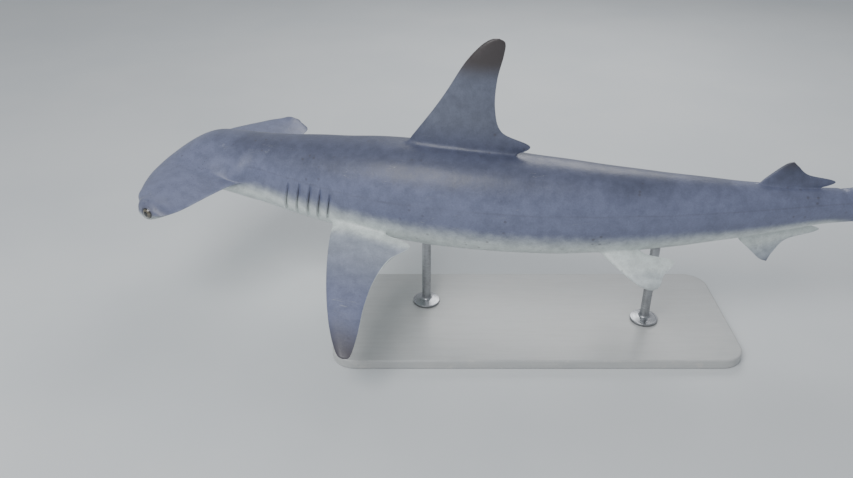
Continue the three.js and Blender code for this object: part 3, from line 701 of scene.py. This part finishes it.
# The mouth: a wide arch under the head
MOUTH_FRONT = 0.0625
MOUTH_CORNER = 0.0905
MOUTH_HALF_WIDTH = 0.0325
MOUTH_DEPTH = 0.0021
MOUTH_GAPE = 0.0008
LOWER_LIP = 0.0018
LOWER_LIP_SHIFT = 0.0032
LOWER_LIP_WIDTH = 0.0018
UPPER_LIP = 0.0011
UPPER_LIP_SHIFT = -0.0028
UPPER_LIP_WIDTH = 0.0016
JAW_SWELL = 0.002
JAW_STATION = 0.082
JAW_LENGTH = 0.015
JAW_HALF_WIDTH = 0.021


def mouth_region(a, l, z):
    return (a > 0.05) & (a < 0.102) & (np.abs(l) < 0.044) & (z < 0)


def mouth(a, l, up):
    """Relief of the mouth, and the painted shade in its slit."""
    x = np.linspace(-1, 1, 41)
    arch = MOUTH_FRONT + (MOUTH_CORNER - MOUTH_FRONT) * np.abs(x) ** 2.2
    line = np.stack([arch, x * MOUTH_HALF_WIDTH], -1)
    distance, share = distance_to_line(np.stack([a, l], -1), line)
    front = np.interp(l, line[:, 1], line[:, 0])
    behind = np.where(a > front, distance, -distance)
    under = smooth((-up - 0.1) / 0.3) * smooth((NECK_CUT - a) / 0.01)
    ends = np.sin(np.pi * share) ** 0.5
    # slit is painted shade that darkens the deep line of the mouth
    slit = bump(distance, MOUTH_GAPE) * ends * under
    lips = LOWER_LIP * bump(behind - LOWER_LIP_SHIFT, LOWER_LIP_WIDTH)
    lips = lips + UPPER_LIP * bump(behind - UPPER_LIP_SHIFT, UPPER_LIP_WIDTH)
    jaw = JAW_SWELL * bump(a - JAW_STATION, JAW_LENGTH) * bump(l, JAW_HALF_WIDTH)
    return (lips * ends + jaw) * under - MOUTH_DEPTH * slit, slit


# Nostrils: a slit near each corner of the front edge, and a groove that runs in from it
NOSTRIL_FROM, NOSTRIL_TO = 0.77, 0.9
NOSTRIL_DEPTH = 0.0026
NOSTRIL_GAPE = 0.0011
NOSTRIL_RIM = 0.0006
RIM_SHIFT = 0.0027
RIM_WIDTH = 0.0012
GROOVE_FROM, GROOVE_TO = 0.5, 0.79
GROOVE_DEPTH = 0.0009
GROOVE_WIDTH = 0.0011


def nostril_region(a, l, z):
    return (np.abs(l) > 0.088) & (np.abs(l) < 0.13) & (a < 0.058) & (z < 0.004)


def front_edge(t, inset, drop):
    a, l = front_lobe(t).T
    return np.stack([a + inset, l, -drop - wing_droop(l)], -1)


def nostrils(a, l, z):
    """Relief of the nostrils and of the grooves beside them, and the painted shade in them."""
    k = np.linspace(0, 1, 9)
    along_groove = GROOVE_FROM + (GROOVE_TO - GROOVE_FROM) * k
    along_slit = NOSTRIL_FROM + (NOSTRIL_TO - NOSTRIL_FROM) * k
    groove = front_edge(along_groove, 0.0002, 0.0008)
    slit = front_edge(along_slit, 0.0006 + 0.004 * k, 0.0015 + 0.0052 * k)
    points = np.stack([a, np.abs(l), z], -1)
    from_groove, share = distance_to_line(points, groove)
    from_slit, _ = distance_to_line(points, slit)
    furrow = bump(from_groove, GROOVE_WIDTH) * smooth(share / 0.6)
    hole = bump(from_slit, NOSTRIL_GAPE)
    rim = NOSTRIL_RIM * bump(from_slit - RIM_SHIFT, RIM_WIDTH)
    # The second value is painted shade in the holes and, fainter, in the grooves.
    return rim - NOSTRIL_DEPTH * hole - GROOVE_DEPTH * furrow, np.maximum(hole, 0.35 * furrow)


# Eyes: a round opening in the end of each wing, with a raised lid
LID_OPENING = 0.0053
LID_EDGE = 0.0006
LID_WIDTH = 0.0014
WING_END = 0.12
SOCKET_GAP = 0.0005


def eye_region(a, l, z):
    from_axis = np.hypot(a - EYE_STATION, z - EYE_LEVEL)
    return (np.abs(l) > 0.124) & (from_axis < 0.0105)


def open_eyes(a, l, z):
    """Moves the skin of the wings' ends into a lid and a socket; gives l and the lid's share."""
    from_axis = np.hypot(a - EYE_STATION, z - EYE_LEVEL)
    at_end = smooth((np.abs(l) - WING_END) / 0.006)
    rim = bump(np.maximum(0, from_axis - LID_RADIUS), LID_WIDTH) * at_end
    lid_top = EYE_OUT + LID_OUT + LID_THICKNESS
    lidded = np.abs(l) + (lid_top - np.abs(l)) * rim
    socket = EYE_OUT + np.sqrt(np.maximum(0, EYE_RADIUS**2 - from_axis**2)) - SOCKET_GAP
    inside = (1 - smooth((from_axis - LID_OPENING) / LID_EDGE)) * at_end
    return np.sign(l) * (lidded + (socket - lidded) * inside), rim


# The vent, and the relief of the muscles
VENT_STATION = 0.523
VENT_LENGTH = 0.0085
VENT_WIDTH = 0.0011
VENT_DEPTH = 0.0013
MUSCLE_RELIEF = 0.00022


def vent(a, l, z):
    """Relief of the vent between the pelvic fins, and the painted shade in it."""
    slot = bump(l, VENT_WIDTH) * bump(a - VENT_STATION, VENT_LENGTH) * (z < 0)
    # The second value is painted shade in the vent's slot.
    return -VENT_DEPTH * slot, 0.6 * slot


def muscles(a, l, z):
    """Soft unevenness of flesh under the skin, largest on the flanks."""
    wave = np.sin(41 * a + 9 * z) * np.sin(23 * a - 31 * z + 4 * l)
    wave = wave + 0.6 * np.sin(97 * a + 55 * z - 30 * l)
    return MUSCLE_RELIEF * wave * smooth((a - 0.1) / 0.05)


# The regions that are drawn finer, each with the length above which an edge is halved
FINER = [
    (mouth_region, 0.0018), (mouth_region, 0.0014), (nostril_region, 0.0014), (eye_region, 0.0012),
]


def add_details(skin):
    """Carves the details of head and body into the skin, and notes where they are and the painted shade
    in their hollows.
    """
    mesh = skin.data
    for region, longest in FINER:
        refine(mesh, region, longest)
    points = coordinates(mesh)
    outward = normals(mesh)
    a, l, z = straighten(points)
    mouth_relief, mouth_shade = mouth(a, l, outward[:, 2])
    nostril_relief, nostril_shade = nostrils(a, l, z)
    vent_relief, vent_shade = vent(a, l, z)
    relief = mouth_relief + nostril_relief + vent_relief + muscles(a, l, z)
    points = points + outward * (relief * TOTAL_LENGTH)[:, None]
    a, l, z = straighten(points)
    l, lid = open_eyes(a, l, z)
    set_coordinates(mesh, bend(a, l, z))
    relax(mesh, 0.8 * eye_region(a, l, z), 4)
    # The first value is painted shade for the mouth, nostrils and vent.
    return np.maximum.reduce([mouth_shade, nostril_shade, vent_shade]), lid


def store(mesh, name, values, kind="FLOAT"):
    made = mesh.attributes.new(name, kind, "POINT")
    made.data.foreach_set("vector" if kind == "FLOAT_VECTOR" else "value", np.ravel(values))


# Where the pale underside begins, as a share of the section's height below its widest line
pale_from = profile([
    (0.1, -0.1), (0.2, -0.2), (0.3, -0.34), (0.45, -0.46), (0.6, -0.5), (0.75, -0.6),
])
PALE_BORDER = 0.8
HEAD_PALE_BELOW = -0.0022
HEAD_PALE_BORDER = 0.012

# Lengths of the straight animal that hold the fins
PAIRED_FINS = (0.15, 0.58)
PELVIC_FINS_FROM = 0.42
PECTORAL_FINS = (0.2, 0.32)
PELVIC_FINS = (0.45, 0.56)
TALL_FIN = (0.25, 0.42)
SMALL_FINS = (0.6, 0.71)


def within(a, stretch):
    return (a > stretch[0]) & (a < stretch[1])


def paleness(a, l, z, up):
    """0 on the back and 1 on the belly, and 0.5 where the two meet."""
    middle = body_middle(a)
    half = np.where(z > middle, body_back(a) - middle, body_belly(a) + middle)
    level = (z - middle) / half
    pale = 0.5 + (pale_from(a) - level) / PALE_BORDER
    head = 0.5 - (z + wing_droop(l) - HEAD_PALE_BELOW) / HEAD_PALE_BORDER
    pale = pale + (head - pale) * (1 - smooth((a - 0.085) / 0.04))
    pale = np.clip(pale, 0, 1)

    # The middle fins and the tail fin are grey, and lighter where they leave the belly
    off_body = smooth((np.abs(level) - 1) / 0.8)
    middle_fin = np.where(z > 0, 0.15, 0.62 - 0.34 * smooth((-level - 1) / 2.6))
    pale = pale + (middle_fin - pale) * off_body * (a > 0.15)
    lobes = 0.14 + 0.16 * smooth((-level - 0.2) / 2) - 0.08 * smooth((-level - 3) / 4)
    pale = pale + (lobes - pale) * smooth((a - 0.69) / 0.05)

    # The paired fins are white below; the pelvic fins are light above as well
    beside = smooth((np.abs(l) - body_width(a) + 0.004) / 0.02) * within(a, PAIRED_FINS)
    above = np.where(a > PELVIC_FINS_FROM, 0.66, 0.15)
    paired = above + (1 - above) * smooth((-up - 0.05) / 0.35)
    return pale + (paired - pale) * beside


def wash(a, l, z):
    """How much lighter the first dorsal fin and the roots of the pectoral fins are than the back."""
    dorsal = 0.07 * smooth((z - 0.06) / 0.03) * within(a, TALL_FIN)
    out = np.abs(l) - body_width(a)
    near_root = smooth((out - 0.001) / 0.01) * (1 - smooth(out / 0.075))
    return np.maximum(dorsal, 0.34 * near_root * within(a, PECTORAL_FINS))


def fin_tips(a, l, z):
    """How dark the ends of the fins are."""
    wing = np.abs(l)
    tips = [
        smooth((z - 0.112) / 0.045) * within(a, TALL_FIN),
        0.6 * smooth((z - 0.036) / 0.018) * within(a, SMALL_FINS),
        0.5 * smooth((-z - 0.042) / 0.02) * within(a, SMALL_FINS),
        0.75 * smooth((wing - 0.11) / 0.06) * within(a, PECTORAL_FINS),
        0.45 * smooth((wing - 0.044) / 0.014) * within(a, PELVIC_FINS),
        0.5 * smooth((-z - 0.05) / 0.05) * (a > 0.72),
        0.6 * smooth((a - 0.93) / 0.06),
        0.35 * smooth((wing - 0.1) / 0.03) * (a < 0.1),
    ]
    return np.maximum.reduce(tips)


# The fine line along each flank, which rises a little towards the head
SIDE_LINE = (0.115, 0.94)
SIDE_LINE_LEVEL = 0.012
SIDE_LINE_RISE = 0.006
SIDE_LINE_WIDTH = 0.0007


def colour_guides(mesh, dark, lid):
    """Stores what the skin's material needs to know of each point."""
    a, l, z = straighten(coordinates(mesh))
    up = normals(mesh)[:, 2]
    from_side = angle_of(a, l, z)
    slits = -gill_relief(a - gill_lean(a, from_side), from_side) / GILL_DEPTH
    on_flank = (np.abs(l) > 0.01) & within(a, SIDE_LINE)
    line_level = SIDE_LINE_LEVEL + SIDE_LINE_RISE * smooth((0.3 - a) / 0.2)
    store(mesh, "straight", np.stack([a, l, z], -1) * TOTAL_LENGTH, "FLOAT_VECTOR")
    store(mesh, "pale", paleness(a, l, z, up))
    store(mesh, "wash", wash(a, l, z))
    store(mesh, "ridge", smooth((z - 0.01) / 0.045))
    store(mesh, "fin_tip", fin_tips(a, l, z))
    # slit: painted shade in the mouth, nostrils, vent and the slots of the gills
    store(mesh, "slit", np.maximum(dark, 0.55 * smooth((slits - 0.4) / 0.6)))
    store(mesh, "lid", lid)
    store(mesh, "side_line", bump(z - line_level, SIDE_LINE_WIDTH) * on_flank)
    store(mesh, "pores", 1 - smooth((a - 0.06) / 0.03))


skin = trunk_piece()
join_fins(skin)
colour_guides(skin.data, *add_details(skin))
skin.data.shade_smooth()

FLESH = [part["node"] for part in frame["record"]["subparts"] if part["material_slot"] == "skin"]
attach(skin, "root")
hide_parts(*FLESH)


# Materials
def linear(red, green, blue):
    """A colour given as 0 to 255 on a screen, as the renderer wants it."""
    share = np.array([red, green, blue]) / 255
    value = np.where(share <= 0.04045, share / 12.92, ((share + 0.055) / 1.055) ** 2.4)
    return (*map(float, value), 1.0)


class Surface:
    """A node material in the making."""

    def __init__(self, name):
        self.material = bpy.data.materials.new(name)
        self.material.use_nodes = True
        self.tree = self.material.node_tree
        self.shader = self.tree.nodes["Principled BSDF"]

    def feed(self, socket, value):
        if isinstance(value, bpy.types.NodeSocket):
            self.tree.links.new(value, socket)
        else:
            socket.default_value = value

    def node(self, kind, inputs, output=0, **settings):
        made = self.tree.nodes.new("ShaderNode" + kind)
        for key, value in settings.items():
            setattr(made, key, value)
        for key, value in inputs.items():
            self.feed(made.inputs[key], value)
        return made.outputs[output]

    def set(self, **values):
        for key, value in values.items():
            self.feed(self.shader.inputs[key.replace("_", " ")], value)

    def math(self, operation, one, other=0.0):
        return self.node("Math", {0: one, 1: other}, operation=operation)

    def mix(self, share, one, other, blend="MIX"):
        inputs = {0: share, 6: one, 7: other}
        return self.node("Mix", inputs, 2, data_type="RGBA", blend_type=blend)

    def remap(self, value, low, high, to_low=0.0, to_high=1.0):
        inputs = {0: value, 1: low, 2: high, 3: to_low, 4: to_high}
        return self.node("MapRange", inputs, interpolation_type="SMOOTHSTEP")

    def attribute(self, name, output="Fac"):
        return self.node("Attribute", {}, output, attribute_name=name)

    def stretched(self, vector, x, y, z):
        return self.node("Mapping", {0: vector, 3: (x, y, z)})

    def noise(self, vector, scale, detail=4.0, roughness=0.55, distortion=0.0):
        inputs = {
            "Vector": vector, "Scale": scale, "Detail": detail, "Roughness": roughness,
            "Distortion": distortion,
        }
        return self.node("TexNoise", inputs)

    def bump(self, height, distance, strength=1.0, normal=None):
        inputs = {"Height": height, "Distance": distance, "Strength": strength}
        if normal is not None:
            inputs["Normal"] = normal
        return self.node("Bump", inputs)


BACK = linear(80, 85, 106)
FLANK = linear(108, 114, 140)
BELLY = linear(208, 216, 214)
TIP = linear(62, 55, 52)
# The colour of the painted shade in slits, holes and pores
SLIT_SHADE = linear(38, 34, 38)
SCUFF = linear(166, 168, 172)


def skin_material():
    s = Surface("shark_skin")
    at = s.attribute("straight", "Vector")
    blotch = s.noise(at, 7.0, 5.0)
    mottle = s.noise(at, 38.0, 6.0, 0.65)
    speck = s.noise(at, 260.0, 3.0, 0.7)
    fine = s.noise(at, 900.0, 2.0)

    # Back, flank and belly
    cloud = s.math("MULTIPLY", s.math("SUBTRACT", blotch, 0.5), 1.4)
    tone = s.math("ADD", s.attribute("ridge"), cloud)
    color = s.mix(s.remap(tone, 0.0, 1.0), FLANK, BACK)
    shift = s.math("MULTIPLY", s.math("SUBTRACT", mottle, 0.5), 0.22)
    pale = s.math("ADD", s.attribute("pale"), shift)
    belly = s.remap(pale, 0.2, 0.84)
    color = s.mix(s.attribute("wash"), color, BELLY)
    color = s.mix(belly, color, BELLY)
    patchy = s.remap(mottle, 0.3, 0.7, 0.86, 1.1)
    grain = s.remap(speck, 0.3, 0.7, 0.93, 1.06)
    shade = s.math("MULTIPLY", patchy, grain)
    color = s.mix(1.0, color, s.node("CombineColor", {0: shade, 1: shade, 2: shade}), "MULTIPLY")

    # Dark ends of the fins, freckles and old scratches
    tip = s.remap(s.math("ADD", s.attribute("fin_tip"), shift), 0.15, 0.9, 0.0, 0.9)
    color = s.mix(tip, color, TIP)
    dots = s.node("TexVoronoi", {"Vector": at, "Scale": 42.0, "Randomness": 1.0})
    freckle = s.math("MULTIPLY", s.remap(dots, 0.1, 0.2, 0.4, 0.0), s.remap(blotch, 0.5, 0.65))
    color = s.mix(freckle, color, TIP)
    streak = s.noise(s.stretched(at, 3.0, 26.0, 26.0), 1.0, 3.0, 0.5, 1.2)
    thin = s.remap(s.math("ABSOLUTE", s.math("SUBTRACT", streak, 0.5)), 0.0, 0.0045, 1.0, 0.0)
    rare = s.remap(s.noise(at, 11.0, 2.0), 0.56, 0.66)
    scratch = s.math("MULTIPLY", s.math("MULTIPLY", thin, rare), 0.5)
    color = s.mix(scratch, color, SCUFF)

    # Painted shade in the slits and in the pores of the snout; the lids and the line along the flank
    holes = s.node("TexVoronoi", {"Vector": at, "Scale": 125.0, "Randomness": 0.8})
    # pore: painted shade in the pits of the pores
    pore = s.math("MULTIPLY", s.remap(holes, 0.1, 0.17, 0.55, 0.0), s.attribute("pores"))
    color = s.mix(pore, color, SLIT_SHADE)
    color = s.mix(s.math("MULTIPLY", s.attribute("side_line"), 0.18), color, TIP)
    color = s.mix(s.math("MULTIPLY", s.attribute("lid"), 0.35), color, TIP)
    # Painted shade in the mouth, nostrils, vent and gill slits
    slit = s.remap(s.attribute("slit"), 0.15, 0.75)
    color = s.mix(slit, color, SLIT_SHADE)

    rough = s.math("ADD", s.remap(mottle, 0.3, 0.7, 0.36, 0.5), s.math("MULTIPLY", slit, 0.2))
    height = s.math("ADD", s.math("MULTIPLY", fine, 0.5), s.math("MULTIPLY", speck, 0.3))
    height = s.math("SUBTRACT", height, s.math("MULTIPLY", pore, 1.5))
    height = s.math("SUBTRACT", height, s.math("MULTIPLY", scratch, 0.8))
    folds = s.bump(mottle, 0.004, 0.35)
    s.set(Base_Color=color, Roughness=rough, Normal=s.bump(height, 0.0005, 0.25, folds))
    s.set(Specular_IOR_Level=0.45, Coat_Weight=0.12, Coat_Roughness=0.22)
    return s.material


skin.data.materials.clear()
skin.data.materials.append(skin_material())


# Eyes
EYE_SEGMENTS = 64
EYE_RINGS = 40
CORNEA_RISE = 0.02


def eye_piece(name, mirror):
    """An eyeball with a slightly domed front; gaze says where on it each point is."""
    ball = bmesh.new()
    bmesh.ops.create_uvsphere(ball, u_segments=EYE_SEGMENTS, v_segments=EYE_RINGS, radius=1)
    directions = np.array([v.co[:] for v in ball.verts])
    ball.faces.ensure_lookup_table()
    faces = [[v.index for v in face.verts] for face in ball.faces]
    ball.free()
    along, up, out = directions.T
    radius = EYE_RADIUS * (1 + CORNEA_RISE * smooth((out - 0.75) / 0.2))
    l = mirror * (EYE_OUT + radius * out)
    points = bend(EYE_STATION + radius * along, l, EYE_LEVEL + radius * up)
    piece = mesh_piece(name, points, faces)
    a, l, z = straighten(coordinates(piece.data))
    gaze = np.stack([a - EYE_STATION, np.abs(l) - EYE_OUT, z - EYE_LEVEL], -1) / EYE_RADIUS
    store(piece.data, "gaze", gaze, "FLOAT_VECTOR")
    piece.data.shade_smooth()
    return piece


def eye_material():
    s = Surface("eye")
    gaze = s.attribute("gaze", "Vector")
    axes = s.node("SeparateXYZ", {0: gaze}).node
    across, up = axes.outputs[0], axes.outputs[2]
    oval = s.node("CombineXYZ", {0: s.math("MULTIPLY", across, 1.3), 1: up})
    from_pupil = s.node("VectorMath", {0: oval}, "Value", operation="LENGTH")
    disc = s.node("CombineXYZ", {0: across, 1: up})
    from_axis = s.node("VectorMath", {0: disc}, "Value", operation="LENGTH")
    around = s.node("VectorMath", {0: disc}, operation="NORMALIZE")
    rays = s.noise(around, 9.0, 4.0, 0.7)
    flecks = s.noise(gaze, 22.0, 4.0, 0.7)
    iris = s.mix(s.remap(rays, 0.3, 0.7), linear(70, 66, 58), linear(118, 112, 96))
    iris = s.mix(s.remap(flecks, 0.45, 0.7, 0.0, 0.5), iris, linear(46, 40, 32))
    color = s.mix(s.remap(from_pupil, 0.38, 0.43), linear(8, 9, 12), iris)
    color = s.mix(s.remap(from_axis, 0.58, 0.7), color, linear(30, 28, 30))
    s.set(Base_Color=color, Roughness=s.remap(flecks, 0.3, 0.7, 0.12, 0.2))
    s.set(Normal=s.bump(rays, 0.0002, 0.3), Coat_Weight=1.0, Coat_Roughness=0.03)
    return s.material


eye_gloss = eye_material()
for side, mirror in (("left", 1), ("right", -1)):
    eye = eye_piece(f"eyeball_{side}", mirror)
    eye.data.materials.append(eye_gloss)
    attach(eye, "root")
    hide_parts(f"eye_{side}")


# The stand
BASE_LENGTH = 1.04
BASE_WIDTH = 0.4
BASE_THICKNESS = 0.026
BASE_CORNER = 0.06
BASE_BEVEL = 0.004
BEVEL_STEPS = 6
CORNER_STEPS = 20
TOP_INSETS = (0.006, 0.012, 0.03)
EDGE_WEAR = 0.008
ROD_RADIUS = 0.012
ROD_FOOT_RADIUS = 0.036
ROD_FOOT_HEIGHT = 0.012
FOOT_RIM = 0.0072
FOOT_BEVEL_OUT = 0.0015
FOOT_BEVEL_UP = 0.0014
ROD_FILLET = 0.006
ROD_SINK = 0.006
ROD_SIDES = 64
ROD_STATIONS = {"front": 0.3, "rear": 0.535}


def lofted(name, rings):
    """A closed form over rings of equal size, from the lowest to the highest."""
    size = len(rings[0])
    points = np.concatenate(rings)
    faces = list(grid_faces(len(rings), size, 0, around=True))
    faces += [range(size)[::-1], range(len(points) - size, len(points))]
    return mesh_piece(name, points, faces)


def base_outline(inset, height):
    """The rounded rectangle of the base, drawn in by some distance."""
    radius = max(BASE_CORNER - inset, 0.001)
    middle = np.array([BASE_LENGTH, BASE_WIDTH]) / 2 - inset - radius
    arcs = []
    for quarter, corner in enumerate([(1, 1), (-1, 1), (-1, -1), (1, -1)]):
        angle = np.pi / 2 * (quarter + np.linspace(0, 1, CORNER_STEPS + 1))
        arcs.append(middle * corner + radius * np.stack([np.cos(angle), np.sin(angle)], -1))
    ring = np.concatenate(arcs)
    return np.column_stack([ring, np.full(len(ring), height)])


def base_piece():
    turn = np.linspace(0, np.pi / 2, BEVEL_STEPS + 1)
    edge = [(BASE_BEVEL * (1 - np.sin(t)), BASE_BEVEL * (1 - np.cos(t))) for t in turn]
    lower = [base_outline(inset, height) for inset, height in edge]
    upper = [base_outline(inset, BASE_THICKNESS - height) for inset, height in edge[::-1]]
    top = [base_outline(inset, BASE_THICKNESS) for inset in TOP_INSETS]
    piece = lofted("stand_plate", lower + upper + top)
    points = coordinates(piece.data)
    from_end = BASE_LENGTH / 2 - np.abs(points[:, 0])
    from_side = BASE_WIDTH / 2 - np.abs(points[:, 1])
    store(piece.data, "wear", 1 - smooth((np.minimum(from_end, from_side) - 0.001) / EDGE_WEAR))
    return piece


def rod_piece(end, station):
    """A turned rod with a low foot, which runs a few millimetres into the belly."""
    outline = [(ROD_FOOT_RADIUS, 0)]
    turn = np.linspace(0, np.pi / 2, BEVEL_STEPS)
    for c, s in zip(np.cos(turn), np.sin(turn)):
        outline.append((ROD_FOOT_RADIUS - FOOT_BEVEL_OUT * (1 - c), FOOT_RIM - FOOT_BEVEL_UP * (1 - s)))
    for c, s in zip(np.cos(turn), np.sin(turn)):
        outline.append((ROD_RADIUS + ROD_FILLET * (1 - s), ROD_FOOT_HEIGHT + ROD_FILLET * (1 - c)))
    belly = AXIS_HEIGHT - body_belly(np.array([station]))[0] * TOTAL_LENGTH - BASE_THICKNESS
    outline += [(ROD_RADIUS, h) for h in np.linspace(0.02, belly + ROD_SINK, 12)]
    x, y, _ = bend(np.array([station]), np.array([0.0]), np.array([0.0]))[0]
    angle = 2 * np.pi * np.arange(ROD_SIDES) / ROD_SIDES
    rings = []
    for r, h in outline:
        level = np.full(ROD_SIDES, BASE_THICKNESS + GAP + h)
        rings.append(np.column_stack([x + r * np.cos(angle), y + r * np.sin(angle), level]))
    return lofted(f"stand_post_{end}", rings)


def base_material():
    s = Surface("painted_wood")
    at = s.node("TexCoord", {}, "Object")
    grain = s.noise(s.stretched(at, 1.2, 16.0, 16.0), 6.0, 6.0, 0.6, 0.6)
    peel = s.noise(at, 420.0, 2.0)
    dust = s.noise(at, 9.0, 5.0, 0.6)
    color = s.mix(s.remap(dust, 0.3, 0.7), linear(180, 182, 182), linear(187, 188, 187))
    color = s.mix(s.remap(grain, 0.42, 0.6, 0.0, 0.07), color, linear(120, 118, 112))
    worn = s.math("MULTIPLY", s.attribute("wear"), s.remap(s.noise(at, 24.0, 6.0, 0.7), 0.52, 0.66))
    color = s.mix(s.math("MULTIPLY", worn, 0.3), color, linear(212, 209, 202))
    height = s.math("ADD", s.math("MULTIPLY", grain, 0.7), s.math("MULTIPLY", peel, 0.3))
    s.set(Base_Color=color, Roughness=s.remap(dust, 0.3, 0.7, 0.28, 0.36))
    s.set(Normal=s.bump(height, 0.0005, 0.4), Specular_IOR_Level=0.4)
    return s.material


def steel_material():
    s = Surface("brushed_steel")
    at = s.node("TexCoord", {}, "Object")
    brushed = s.noise(s.stretched(at, 30.0, 30.0, 1400.0), 1.0, 3.0, 0.6)
    stain = s.noise(at, 45.0, 4.0, 0.6)
    color = s.mix(s.remap(stain, 0.35, 0.7), linear(176, 178, 182), linear(160, 161, 164))
    s.set(Base_Color=color, Roughness=s.remap(brushed, 0.3, 0.7, 0.24, 0.4))
    s.set(Normal=s.bump(brushed, 0.0002, 0.25), Metallic=1.0)
    return s.material


def add_stand_piece(piece, material, node):
    piece.data.materials.append(material)
    piece.data.shade_smooth()
    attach(piece, "root")
    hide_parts(node)


add_stand_piece(base_piece(), base_material(), "stand_base")
steel = steel_material()
for end, station in ROD_STATIONS.items():
    add_stand_piece(rod_piece(end, station), steel, f"stand_rod_{end}")


# Studio
LIGHT_TARGET = Vector((-0.1, 0, 0.4))


def area_light(name, size, power, place):
    data = bpy.data.lights.new(name, "AREA")
    data.size = size
    data.energy = power
    lamp = bpy.data.objects.new(name, data)
    lamp.location = place
    lamp.rotation_euler = (LIGHT_TARGET - Vector(place)).to_track_quat("-Z", "Y").to_euler()
    bpy.context.scene.collection.objects.link(lamp)


area_light("key", 2.4, 120, (-1.8, -2.2, 3.2))
area_light("rim", 2.0, 45, (0.6, 2.6, 2.4))

world = bpy.data.worlds.new("studio")
world.use_nodes = True
sky = world.node_tree.nodes["Background"]
sky.inputs["Color"].default_value = (0.86, 0.9, 0.96, 1)
sky.inputs["Strength"].default_value = 0.5
bpy.context.scene.world = world


def floor_material():
    s = Surface("floor")
    at = s.node("TexCoord", {}, "Object")
    cloud = s.noise(at, 1.5, 4.0)
    color = s.mix(s.remap(cloud, 0.3, 0.7), linear(206, 210, 212), linear(212, 215, 216))
    s.set(Base_Color=color, Roughness=s.remap(cloud, 0.3, 0.7, 0.55, 0.65))
    return s.material


FLOOR_REACH = 12
floor_mesh = bpy.data.meshes.new("floor")
floor_signs = ((-1, -1), (1, -1), (1, 1), (-1, 1))
floor_corners = [(x * FLOOR_REACH, y * FLOOR_REACH, 0) for x, y in floor_signs]
floor_mesh.from_pydata(floor_corners, [], [(0, 1, 2, 3)])
floor = link("floor", floor_mesh)
floor_mesh.materials.append(floor_material())

# The camera, with its lens and sensor in millimetres
CAMERA_ELEVATION = radians(28)
CAMERA_DISTANCE = 1.95
CAMERA_TARGET = Vector((-0.281, 0, 0.35))
CAMERA_TILT = radians(2.3)
CAMERA_LENS = 33
CAMERA_SENSOR = 36
camera_data = bpy.data.cameras.new("camera")
camera_data.sensor_width = CAMERA_SENSOR
camera_data.lens = CAMERA_LENS
camera = bpy.data.objects.new("camera", camera_data)
away = Vector((0, -np.cos(CAMERA_ELEVATION), np.sin(CAMERA_ELEVATION)))
camera.location = CAMERA_TARGET + CAMERA_DISTANCE * away
camera.rotation_euler = (radians(90) - CAMERA_ELEVATION - CAMERA_TILT, 0, 0)
bpy.context.scene.collection.objects.link(camera)
bpy.context.scene.camera = camera
